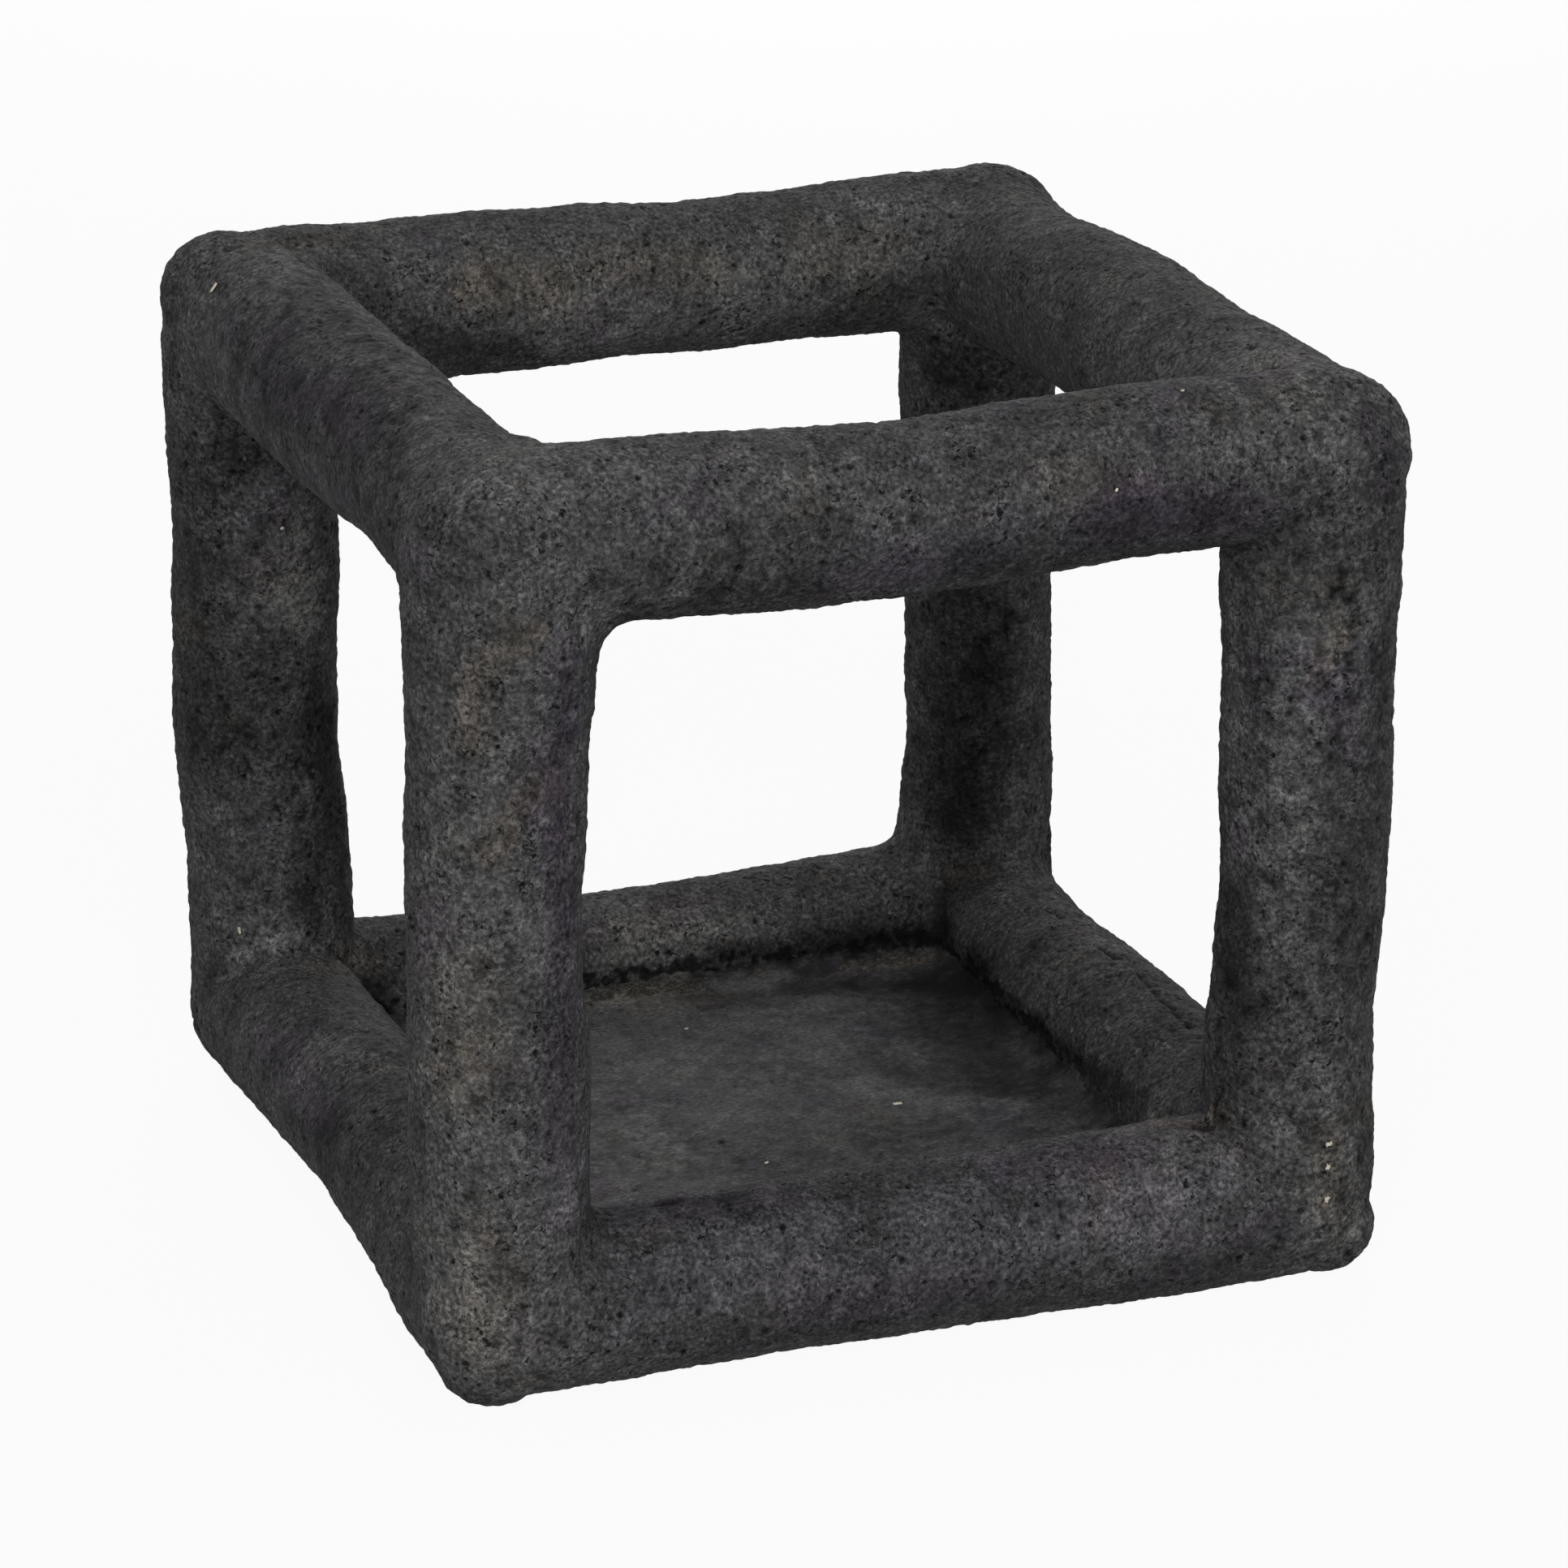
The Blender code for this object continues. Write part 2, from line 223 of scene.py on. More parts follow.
# Patches of another colour: feature size, how rare, strength and seed of each kind
PATCHES = (
    ("brown", 17.0, 0.42, 0.45, 51),
    ("cool", 22.0, 0.34, 0.8, 52),
    ("pale", 14.0, 0.45, 0.6, 53),
)

# Mottling: size of the features, how much lighter and darker they are, and the seed of each
MOTTLE = ((34.0, 0.18, 61), (11.0, 0.24, 62), (4.4, 0.30, 63), (2.2, 0.25, 64))

# How strongly some bars are mottled, and their grain painted lighter and darker, beside the rest
MOTTLED = {
    "post_front_right": 1.5,
    "left_top_rail": 1.6,
    "post_back_left": 1.2,
    "post_back_right": 1.3,
    "post_front_left": 1.15,
    "front_top_rail": 1.15,
    "back_top_rail": 0.9,
    "right_top_rail": 0.85,
}
FLOOR_MOTTLED = 1.2

# How much lighter the grain's tops and darker its valleys are painted, as painted light and shade,
# and the darkest and lightest tints
PAINTED_GRAIN_SHADING = 0.45
TINT_RANGE = 0.08, 3

# What each kind of mark does: it multiplies the colour and sinks the surface by millimetres. Last,
# how soft its edges are, from 0, ragged, to 1, a smooth fade
MARK_KINDS = {
    "brown": ((1.24, 1.13, 1.02), 0.0, 0.1),
    "cool": ((0.80, 0.74, 0.83), 0.0, 0.2),
    "violet": ((1.00, 0.955, 1.025), 0.0, 0.8),
    "pale": ((1.36, 1.37, 1.41), 0.0, 0.2),
    # light: in part a lighter tone of the pulp, in part painted light on tops and sides that stand in
    # light
    "light": ((1.50, 1.48, 1.46), 0.0, 0.8),
    # shade: in part a darker tone, in part painted shade in inner corners, under the rails and where
    # parts meet
    "shade": ((0.55, 0.55, 0.55), 0.0, 0.8),
    # soot: real soot in part, and in part painted shade in the crevices at the rails' bases and in
    # corners
    "soot_and_painted_shade": ((0.42, 0.41, 0.41), 0.2, 0.4),
    # crease: a sunk line, darkened with painted shade
    "crease": ((0.22, 0.21, 0.21), 0.9, 1.0),
}

# Marks of each kind that the photograph shows: half width in millimetres, strength, and the pixels
# that the mark passes through
BROWN_MARKS = (
    (5, 0.6, (320, 300), (420, 285)), (6, 0.9, (405, 1190), (450, 1180)),
    (9, 0.5, (570, 1210), (560, 1340)), (8, 0.8, (590, 345), (690, 355)),
    (9, 0.5, (600, 1560), (590, 1660)), (5, 0.9, (660, 785), (610, 815), (578, 850), (580, 910)),
    (4.5, 0.9, (660, 975), (635, 1010), (600, 1055)), (5, 0.8, (737, 1230), (850, 1211)),
    (7, 0.7, (740, 320), (880, 335)), (6, 0.5, (800, 1240), (880, 1225)),
    (7, 0.6, (1010, 320), (1090, 300)), (3, 0.9, (1045, 1186), (1145, 1176)),
    (3.5, 0.8, (1160, 1080), (1200, 1070)), (6, 0.6, (1300, 585), (1345, 600)),
    (5, 1, (1430, 1378), (1495, 1375)), (6, 0.7, (1640, 1400), (1640, 1480)),
    (3.5, 0.7, (1656, 783), (1613, 840)),
)
COOL_MARKS = (
    (9, 0.9, (320, 1280), (400, 1370)), (8, 0.6, (345, 395), (320, 470), (360, 500)),
    (8, 0.8, (400, 470), (440, 520)), (7, 0.8, (690, 1040), (705, 1130)),
    (8, 0.6, (690, 1300), (690, 1420)), (6, 0.9, (700, 810), (700, 900)),
    (6, 0.5, (700, 920), (695, 1030)), (7, 0.5, (705, 1140), (705, 1290)),
    (8, 0.7, (840, 1482), (960, 1462)), (8, 0.6, (1000, 1620), (1200, 1590)),
    (8, 0.8, (1030, 722), (1120, 715)), (8, 0.4, (1130, 705), (1225, 690)),
    (8, 0.8, (1230, 1430), (1350, 1420)), (9, 1, (1370, 645), (1460, 632), (1545, 640)),
    (7, 0.5, (1520, 960), (1515, 1180)), (5, 0.7, (1530, 800), (1545, 870)),
    (7, 0.8, (1650, 880), (1680, 940)), (6, 0.9, (1690, 515), (1710, 560), (1712, 600)),
)
VIOLET_MARKS = (
    (14, 1, (310, 430), (440, 545)), (12, 0.6, (705, 820), (700, 1150)),
    (10, 0.8, (705, 1150), (700, 1500)), (30, 0.9, (820, 1560), (1420, 1500)),
    (14, 0.9, (1100, 690), (1500, 650)),
)
PALE_MARKS = (
    (6, 0.6, (285, 640), (320, 600)), (3, 1, (290, 1182), (330, 1168), (368, 1160)),
    (7, 0.5, (350, 880), (330, 960)), (7, 0.7, (870, 1540), (940, 1530)),
    (7, 0.6, (1150, 1470), (1200, 1480)), (7, 0.8, (1270, 1520), (1330, 1500)),
    (6, 0.6, (1460, 1480), (1500, 1450)), (8, 0.5, (1570, 1060), (1600, 1140)),
    (5, 0.6, (1575, 930), (1590, 990)), (5, 0.7, (1590, 790), (1600, 850), (1605, 900)),
    (7, 0.7, (1650, 840), (1600, 870)),
)
# Partly lighter tone, partly painted light: pools of light and lit tops and edges painted into the
# colour
LIGHT_TONE_AND_PAINTED_LIGHT_MARKS = (
    (7, 0.5, (290, 680), (295, 760)), (2.5, 0.8, (290, 1180), (330, 1166), (368, 1158)),
    (12, 0.35, (300, 310), (360, 370)), (12, 0.6, (320, 1260), (420, 1300)),
    (6, 0.6, (355, 1160), (365, 1180)), (10, 0.6, (360, 630), (362, 800)),
    (8, 0.4, (365, 1320), (440, 1265)), (8, 0.7, (365, 1326), (370, 1340)),
    (9, 1, (375, 640), (378, 770)), (8, 0.7, (490, 1310), (500, 1340)),
    (8, 0.8, (497, 690), (502, 730)), (6, 0.6, (515, 1090), (520, 1160)),
    (10, 0.6, (530, 1100), (545, 1220), (545, 1390)), (11, 0.9, (548, 1535), (568, 1660)),
    (15, 0.4, (560, 340), (700, 370), (770, 390)), (8, 0.5, (560, 930), (580, 950)),
    (8, 0.4, (600, 560), (635, 650)), (18, 0.3, (600, 900), (600, 1650)),
    (8, 0.7, (660, 560), (750, 556)), (9, 0.7, (685, 1520), (685, 1700)),
    (6, 0.5, (688, 1060), (685, 1090)), (7, 0.5, (715, 395), (755, 418)),
    (3, 0.7, (735, 1221), (850, 1204)), (11, 0.9, (740, 1140), (880, 1125)),
    (6, 0.8, (745, 742), (735, 775)), (9, 0.7, (750, 1175), (830, 1140)),
    (14, 0.6, (750, 1330), (760, 1450)), (14, 0.6, (750, 1390), (820, 1420)),
    (10, 0.5, (760, 1130), (960, 1110)), (9, 0.45, (815, 622), (940, 620)),
    (9, 0.5, (900, 355), (990, 340)), (9, 0.35, (960, 320), (1120, 295)),
    (8, 0.5, (960, 1580), (1010, 1595)), (3, 0.6, (1045, 1186), (1145, 1176)),
    (8, 0.35, (1070, 240), (1262, 240)), (6, 0.5, (1125, 622), (1140, 625)),
    (4, 0.4, (1127, 860), (1127, 950)), (6, 0.5, (1195, 800), (1197, 890)),
    (7, 0.5, (1270, 990), (1272, 1080), (1262, 1135)), (7, 1, (1300, 1110), (1360, 1155)),
    (6, 0.8, (1300, 1305), (1330, 1328)), (6, 0.6, (1345, 1430), (1360, 1555)),
    (7, 0.8, (1385, 1372), (1400, 1376)), (10, 0.8, (1390, 1400), (1440, 1500)),
    (6, 0.6, (1400, 1390), (1480, 1394)), (6, 0.6, (1514, 760), (1514, 1050)),
    (9, 0.6, (1520, 470), (1590, 440), (1585, 560)), (8, 0.4, (1540, 440), (1590, 432)),
    (14, 0.8, (1560, 420), (1640, 480)), (7, 0.5, (1580, 1010), (1585, 1070)),
    (10, 0.4, (1610, 790), (1600, 1000)), (6, 0.5, (1640, 750), (1645, 820)),
    (7, 0.7, (1645, 1520), (1665, 1545)), (8, 0.9, (1650, 1450), (1660, 1530)),
)
# Partly darker tone, partly painted shade: shadows in inner corners, under the top and bottom rails and
# at joins
DARK_TONE_AND_PAINTED_SHADE_MARKS = (
    (8, 0.4, (228, 690), (235, 950)), (10, 0.9, (235, 560), (240, 900)),
    (10, 0.5, (240, 940), (310, 940)), (18, 0.75, (300, 440), (470, 590)),
    (12, 0.7, (300, 870), (385, 930)), (7, 0.6, (350, 1380), (400, 1430)),
    (9, 0.8, (400, 1390), (435, 1440)), (5, 0.8, (405, 362), (440, 396), (480, 427), (525, 447)),
    (7, 0.8, (408, 890), (420, 1000), (425, 1070)), (9, 1, (435, 342), (470, 385)),
    (7, 0.6, (545, 432), (580, 445)), (10, 0.5, (560, 680), (625, 700)),
    (6, 0.5, (600, 1000), (625, 1005)), (9, 0.6, (610, 1250), (690, 1265)),
    (9, 0.5, (620, 1510), (645, 1590)), (10, 0.6, (740, 1512), (880, 1528)),
    (9, 0.4, (750, 690), (1010, 686)), (11, 0.35, (760, 1265), (1070, 1255)),
    (8, 0.6, (790, 1630), (820, 1645)), (6, 0.7, (890, 748), (1000, 742)),
    (6, 0.6, (900, 1660), (1300, 1600), (1550, 1560)), (16, 0.35, (960, 1400), (1240, 1390)),
    (16, 0.6, (975, 1390), (1040, 1460)), (8, 0.5, (980, 405), (1060, 395)),
    (9, 0.6, (985, 690), (1035, 690)), (8, 0.7, (1040, 400), (1140, 355)),
    (9, 0.7, (1060, 1140), (1150, 1130)), (9, 0.6, (1070, 1450), (1072, 1520)),
    (7, 0.6, (1110, 375), (1165, 345)), (8, 0.9, (1140, 960), (1165, 1040), (1185, 1090)),
    (11, 0.8, (1190, 690), (1330, 675), (1490, 650)), (8, 0.6, (1197, 556), (1265, 548)),
    (8, 0.5, (1200, 1475), (1240, 1485)), (14, 0.4, (1210, 360), (1310, 440)),
    (6, 0.5, (1215, 705), (1300, 698)), (6, 0.5, (1235, 780), (1225, 880), (1245, 960)),
    (6, 0.6, (1243, 780), (1243, 930)), (14, 0.3, (1260, 1170), (1400, 1290)),
    (8, 0.5, (1262, 700), (1262, 900)), (9, 0.4, (1310, 300), (1330, 370)),
    (9, 0.4, (1310, 500), (1330, 560)), (8, 0.8, (1512, 1110), (1510, 1220)),
    (8, 0.8, (1516, 1120), (1514, 1330)), (8, 0.9, (1530, 680), (1540, 740)),
    (8, 0.4, (1540, 1130), (1590, 1140)), (9, 0.6, (1570, 1262), (1600, 1265)),
    (7, 0.5, (1610, 665), (1650, 690)), (8, 0.5, (1640, 1060), (1690, 1100)),
    (8, 0.5, (1640, 1180), (1660, 1215)), (9, 0.5, (1645, 1000), (1648, 1134)),
    (9, 0.6, (1703, 930), (1690, 1020), (1675, 1150)), (6, 0.5, (1706, 870), (1701, 960)),
    (8, 0.7, (1712, 545), (1712, 690)),
)
# Partly soot, partly painted shade: black bands in crevices at the rails' bases, in corners and under
# rails
SOOT_AND_PAINTED_SHADE_MARKS = (
    (5, 0.9, (275, 560), (300, 585)), (7, 0.6, (310, 810), (345, 845)),
    (6, 0.7, (350, 790), (395, 830)), (3, 0.8, (375, 1100), (390, 1140)),
    (6, 0.4, (390, 1060), (380, 1110)), (6, 0.7, (400, 875), (404, 950), (408, 1025)),
    (6, 1, (462, 1222), (488, 1250)), (6, 0.8, (520, 412), (560, 435), (620, 437)),
    (7, 0.4, (520, 645), (600, 682)), (2.5, 0.8, (735, 1492), (830, 1478), (915, 1466)),
    (5, 0.5, (840, 1227), (960, 1215)), (7, 0.6, (880, 1232), (960, 1226), (1035, 1212)),
    (5, 1, (890, 1178), (1050, 1160), (1150, 1143)), (6, 0.9, (975, 1213), (1050, 1207)),
    (6, 0.4, (985, 1182), (1150, 1167), (1190, 1192)), (3.5, 1, (994, 1196), (1020, 1191)),
    (9, 0.6, (1000, 1212), (1040, 1205), (1130, 1195), (1165, 1186)),
    (13, 0.6, (1080, 1300), (1180, 1330)), (6, 0.9, (1110, 1207), (1190, 1212)),
    (15, 0.9, (1110, 1215), (1185, 1240), (1230, 1320)), (8, 0.5, (1110, 1322), (1150, 1330)),
    (3.5, 1, (1128, 1193), (1160, 1189)), (9, 0.2, (1130, 430), (1180, 470), (1240, 470)),
    (5, 0.7, (1130, 1120), (1170, 1150)), (7, 1, (1140, 1205), (1200, 1203)),
    (12, 0.6, (1140, 1262), (1260, 1330)), (4, 1, (1157, 1095), (1160, 1148)),
    (11, 1, (1165, 470), (1170, 760), (1180, 1000)), (10, 0.6, (1165, 930), (1195, 1010)),
    (8, 0.6, (1170, 1235), (1215, 1275)),
    (5, 0.9, (1180, 1198), (1214, 1226), (1254, 1260), (1298, 1300)),
    (12, 0.6, (1190, 1215), (1290, 1300), (1370, 1370)), (4, 1, (1192, 1165), (1212, 1195)),
    (9, 0.5, (1215, 850), (1195, 960), (1195, 1080)),
    (8, 0.6, (1222, 730), (1225, 800), (1215, 880)), (8, 0.5, (1240, 1320), (1275, 1335)),
    (7, 0.6, (1290, 1345), (1335, 1362)), (4, 1, (1315, 1296), (1364, 1332), (1402, 1357)),
    (2.5, 0.7, (1425, 1384), (1452, 1381)), (3, 0.4, (1640, 860), (1655, 960)),
)
# Creases: sunk lines whose darkness is painted shade
CREASE_MARKS = (
    (0.9, 0.8, (738, 1489), (790, 1482), (830, 1475)),
    (0.6, 0.7, (1246, 720), (1244, 760), (1247, 800)), (0.7, 1, (1284, 1113), (1293, 1119)),
    (0.7, 1, (1300, 1121), (1313, 1127)), (0.7, 1, (1356, 1163), (1373, 1175)),
    (0.7, 1, (1404, 1196), (1409, 1201)), (0.7, 1, (1413, 1204), (1420, 1211)),
    (0.7, 1, (1424, 1215), (1430, 1221)), (0.7, 1, (1436, 1228), (1446, 1238)),
    (0.7, 1, (1450, 1242), (1456, 1248)), (0.7, 1, (1464, 1255), (1469, 1260)),
    (2.2, 1, (1470, 1381), (1482, 1382)), (1.8, 0.9, (1489, 1384), (1499, 1383)),
    (0.8, 1, (1500, 1345), (1494, 1353), (1491, 1365), (1489, 1376)),
)
MARKS = {
    "brown": BROWN_MARKS,
    "cool": COOL_MARKS,
    "violet": VIOLET_MARKS,
    "pale": PALE_MARKS,
    "light": LIGHT_TONE_AND_PAINTED_LIGHT_MARKS,
    "shade": DARK_TONE_AND_PAINTED_SHADE_MARKS,
    "soot_and_painted_shade": SOOT_AND_PAINTED_SHADE_MARKS,
    "crease": CREASE_MARKS,
}

# How many pixels from a mark's pixel its place on the surface may be
PIXEL_REACH = 5

# Cream chips of paper in the skin: the pixel, length and width in millimetres, and turn in degrees
CHIPS = (
    (260, 352, 2.4, 1.0, 40),
    (292, 1150, 1.8, 0.7, 100),
    (1640, 1412, 1.6, 1.0, 20),
    (1638, 1441, 1.2, 1.0, 70),
    (1638, 1481, 1.5, 1.1, 60),
    (1110, 1356, 2.0, 1.1, 10),
    (1378, 607, 0.8, 0.6, 60),
    (1460, 478, 0.7, 0.4, 15),
    (946, 1429, 0.9, 0.7, 30),
    (847, 1264, 0.8, 0.5, 0),
    (352, 650, 0.9, 0.7, 20),
)

# Heights of a chip's lower and upper faces in millimetres, and how ragged its outline is
CHIP_FACES = 0.15, 0.45
CHIP_RAGGED = 0.35

# Paper of the chips: size and relief of its flecks in millimetres, and its colours along the noise
CHIP_PAPER = 0.5, 0.1, ((0.3, (0.36, 0.30, 0.23)), (0.6, (0.70, 0.64, 0.54)))

# Crumbs along the floor's edges: how many, the pixels they lie between, how many pixels they
# scatter, their least and greatest radius, how they are stretched along x, y and z, how bumpy they
# are, and their seed
CRUMBS = ((90, (728, 1224), (865, 1205)), (70, (1040, 1186), (1145, 1176)))
CRUMB_SCATTER = 4.0
CRUMB_RADII = 0.4 * MM, 1.1 * MM
CRUMB_STRETCH = ((0.8, 1.7), (0.7, 1.3), (0.3, 0.7))
CRUMB_BUMPS = 0.22
CRUMB_SEED = 91
CRUMB_COLOURS = (
    (0.32, (0.016, 0.015, 0.014)),
    (0.52, (0.052, 0.047, 0.041)),
    (0.70, (0.130, 0.116, 0.098)),
)
CRUMB_PAPER = 1.1, 0.25, CRUMB_COLOURS

# The stand's floor: half its width and the size of its squares
FLOOR_REACH = 84.0 * MM
FLOOR_SQUARE = 0.9 * MM

# The lip that rises from the floor to the rails, in millimetres: its height, how much lower it is
# along the back rail and how suddenly, its reach, and its layers of noise
LIP_HEIGHT = 3.6
LIP_DROP, LIP_TURN = 1.1, 8
LIP_REACH = 3.4
LIP_SWELLS = ((22.0, 0.4, 86),)
LIP_ROUGH = ((2.4, 1.0, 81), (6.0, 0.8, 82))

# The floor's rim inside the rails: how far in it starts to drop, in millimetres, and how steeply
RIM_START, RIM_DROP = 2.5, 3.5

# Darkening along the floor's edges by the rails, part dirt and part painted shade: its strength, its
# reach, and its layer of noise with mean and limit
EDGE_DIRT_AND_SHADE, EDGE_DARKENING_REACH = 0.6, 4.0 * MM
EDGE_DARKENING_PATCHES = ((5.0, 0.9, 85),)
EDGE_DARKENING_MEAN, EDGE_DARKENING_MOST = 0.8, 1.3

# The crevice above the lip, in millimetres: how far above, its half width and its depth, then how
# much darker it is painted, as painted shade, its layers of noise, and where its edge lies and how
# steep it is
CREVICE_RISE, CREVICE_WIDTH, CREVICE_DEPTH = 1.2, 3.6, 0.8
CREVICE_PAINTED_SHADE = 0.85
CREVICE_WANDERS = ((14.0, 1.4, 87),)
CREVICE_RAGGED = ((2.2, 1.2, 83), (9.0, 0.8, 84))
CREVICE_EDGE, CREVICE_SLOPE = 0.4, 1.8

# It fades over this way from the stand's middle to the front, and this share of it is left there
CREVICE_FADE, CREVICE_LEFT = 70 * MM, 0.2

# Flecks of the pulp: how they are stretched along x, y and z, their size and their relief in
# millimetres
PULP_FLECKS = (1, 1, 1), 1.1, 0.5
FLOOR_FLECKS = (0.7, 1, 1), 0.9, 0.2

# Greys of the pulp's flecks: places along the noise and the grey there
PULP_GREYS = ((0.31, 0.010), (0.50, 0.052), (0.68, 0.121))
FLOOR_GREYS = ((0.32, 0.031), (0.50, 0.072), (0.68, 0.124))

# Tiny dents, painted only as dark specks, as painted shade: places along their noise, and what the
# grey is multiplied by there
PULP_DENTS = ((0.46, 0.08), (0.54, 1.0))
FLOOR_DENTS = ((0.36, 0.40), (0.48, 1.0))

# Pale fibres, calm patches with fewer flecks, and roughness: places along their noise, and what the
# grey is multiplied by, how calm or how rough the pulp is there
PULP_FIBRES = ((0.62, 1.0), (0.75, 1.6))
PULP_CALM = ((0.44, 0.0), (0.62, 0.25))
PULP_ROUGHNESS = ((0.3, 0.82), (0.7, 1.0))

# How much the dents gather in places, and how glossy pulp, paper and card are
DENTS_GATHER = 0.35
GLOSS = 0.1

# Card of the tubes and of the board: its dark and its light fibres
TUBE_CARD = (0.17, 0.115, 0.068), (0.27, 0.19, 0.115)
BOARD_CARD = (0.155, 0.112, 0.073), (0.245, 0.18, 0.118)

# Map for baking, from 0 to 1: its margin, the skin's share of its width and height, and the columns
# of the caps' corners. Last, how far past a bar's radius its ends are rolled out
MAP_MARGIN, SKIN_WIDE, SKIN_HIGH = 0.01, 0.9, 0.98
CAP_COLUMNS = 0.94, 0.94, 0.99
END_SPARE = 3 * MM

# Stage: lamps (name, place, size, watts), the light from all round, and the pale floor's greys along
# its noise, glow and size
LAMPS = (
    ("key", (-0.45, -1.4, 1.0), 1.3, 23.0),
    ("back", (0.35, 0.9, 1.3), 0.8, 3.0),
    ("rear", (0.6, 1.5, 0.35), 1.0, 10.0),
)
AMBIENT = 0.26
PALE_GREYS = ((0.3, 0.50), (0.7, 0.54))
FLOOR_GLOW = 0.94
FLOOR_SIZE = 6.0


def middle(node, axis):
    low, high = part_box(node)
    return (low[axis] + high[axis]) / 2


# Where the middles of the bars run, from the card tubes inside them
PLACES = {
    "left": middle("left_top_rail_tube", X),
    "right": middle("right_top_rail_tube", X),
    "front": middle("front_top_rail_tube", Y),
    "back": middle("back_top_rail_tube", Y),
    "bottom": middle("front_bottom_rail_tube", Z),
    "top": middle("front_top_rail_tube", Z),
}
GROUND, SUMMIT = CAD_BOX[0].z, CAD_BOX[1].z
FLOOR_TOP, FLOOR_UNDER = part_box("floor_top_coat")[1].z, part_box("floor_under_coat")[0].z
BAR_RADIUS = PLACES["bottom"] - GROUND
BAR_NEAR = 2 * BAR_RADIUS
ENDS, SIDES, LEVELS = ("front", "back"), ("left", "right"), ("bottom", "top")
CORNERS = list(itertools.product(ENDS, SIDES, LEVELS))

# The corners of a cell, as steps from its first corner
CELL_CORNERS = list(np.ndindex(2, 2, 2))


def noise(points, size, seed):
    """Smooth noise from about -1 to 1 with features of this size, the same for the same seed."""
    rng = np.random.default_rng(seed)
    table = rng.permutation(NOISE_SLOPES).astype(np.int32)
    slopes = rng.normal(size=(3, NOISE_SLOPES)).astype(np.float32)
    slopes /= np.linalg.norm(slopes, axis=0)
    at = np.ascontiguousarray(points.T / size, dtype=np.float32)
    cell = np.floor(at)
    part = at - cell
    cell = cell.astype(np.int32)
    fade = part**3 * (part * (part * 6 - 15) + 10)
    weights = np.stack([1 - fade, fade])
    total = np.zeros(len(points), np.float32)
    last = NOISE_SLOPES - 1
    for i in (0, 1):
        row = table[(cell[X] + i) & last]
        for j in (0, 1):
            column = table[(row + cell[Y] + j) & last]
            for k in (0, 1):
                slope = table[(column + cell[Z] + k) & last]
                value = slopes[X][slope] * (part[X] - i)
                value += slopes[Y][slope] * (part[Y] - j)
                value += slopes[Z][slope] * (part[Z] - k)
                total += value * weights[i, X] * weights[j, Y] * weights[k, Z]
    return total * NOISE_GAIN


def layered(points, layers):
    """Sum of layers of noise, each with its size in millimetres, its height and its seed."""
    return sum(noise(points, size * MM, seed) * height for size, height, seed in layers)


def round_distance(points, middles, radius, swell):
    """How far points are from a round surface about some middles, and which way is out."""
    off = points - middles
    length = np.maximum(np.linalg.norm(off, axis=1), 1e-9)
    return length - radius - swell, off / length[:, None]


class Bar:
    """One bar as a distance field: how far points are from its surface, and which way is out."""

    def __init__(self, name, axis, start, end):
        self.name = name
        self.axis = axis
        self.start = start
        self.end = end
        self.lumps = LUMPS.get(name, ())
        self.low = np.minimum(start, end) - BAR_NEAR
        self.high = np.maximum(start, end) + BAR_NEAR

    def near(self, points):
        return ((points > self.low) & (points < self.high)).all(1)

    def line(self, points):
        """The bar's middle and radius beside each point."""
        first, last = self.start[self.axis], self.end[self.axis]
        share = ((points[:, self.axis] - first) / (last - first)).clip(0, 1)
        centre = self.start + share[:, None] * (self.end - self.start)
        radius = np.full(len(points), BAR_RADIUS + PLUMP * MM)
        for place, spread, right, up, growth in self.lumps:
            weight = np.exp(-(((share - place) / spread) ** 2)) * MM
            centre[:, X] += weight * right
            centre[:, Z] += weight * up
            radius += weight * growth
        return centre, radius

    def distance(self, points, swell):
        return round_distance(points, *self.line(points), swell)


class Knob:
    """A rounded swelling at a corner, as a distance field like a bar's."""

    def __init__(self, place, radius):
        self.place = place
        self.radius = radius

    def near(self, points):
        return (abs(points - self.place) < BAR_NEAR).all(1)

    def distance(self, points, swell):
        return round_distance(points, self.place, self.radius, swell)


def corner(end, side, level):
    true = np.array([PLACES[side], PLACES[end], PLACES[level]])
    return true + np.array(CORNER_SHIFTS.get((end, side, level), (0, 0, 0))) * MM


def lay_out_bars():
    bars = []
    for end in ENDS:
        for side in SIDES:
            ends = corner(end, side, "bottom"), corner(end, side, "top")
            bars.append(Bar(f"post_{end}_{side}", Z, *ends))
    for level in LEVELS:
        for end in ENDS:
            ends = corner(end, "left", level), corner(end, "right", level)
            bars.append(Bar(f"{end}_{level}_rail", X, *ends))
        for side in SIDES:
            ends = corner("front", side, level), corner("back", side, level)
            bars.append(Bar(f"{side}_{level}_rail", Y, *ends))
    return bars


def lay_out_knobs():
    knobs = []
    for end, side, level, shift, radius in KNOBS:
        knobs.append(Knob(corner(end, side, level) + np.array(shift) * MM, radius * MM))
    return knobs


def fillet_sizes(points):
    """The fillet of the corner nearest to each point."""
    sizes = np.empty(len(points))
    mid_height = (PLACES["bottom"] + PLACES["top"]) / 2
    for end, side, level in CORNERS:
        here = (points[:, X] > 0) == (side == "right")
        here &= (points[:, Y] > 0) == (end == "back")
        here &= (points[:, Z] > mid_height) == (level == "top")
        sizes[here] = FILLETS.get((end, side, level), FILLET) * MM
    return sizes


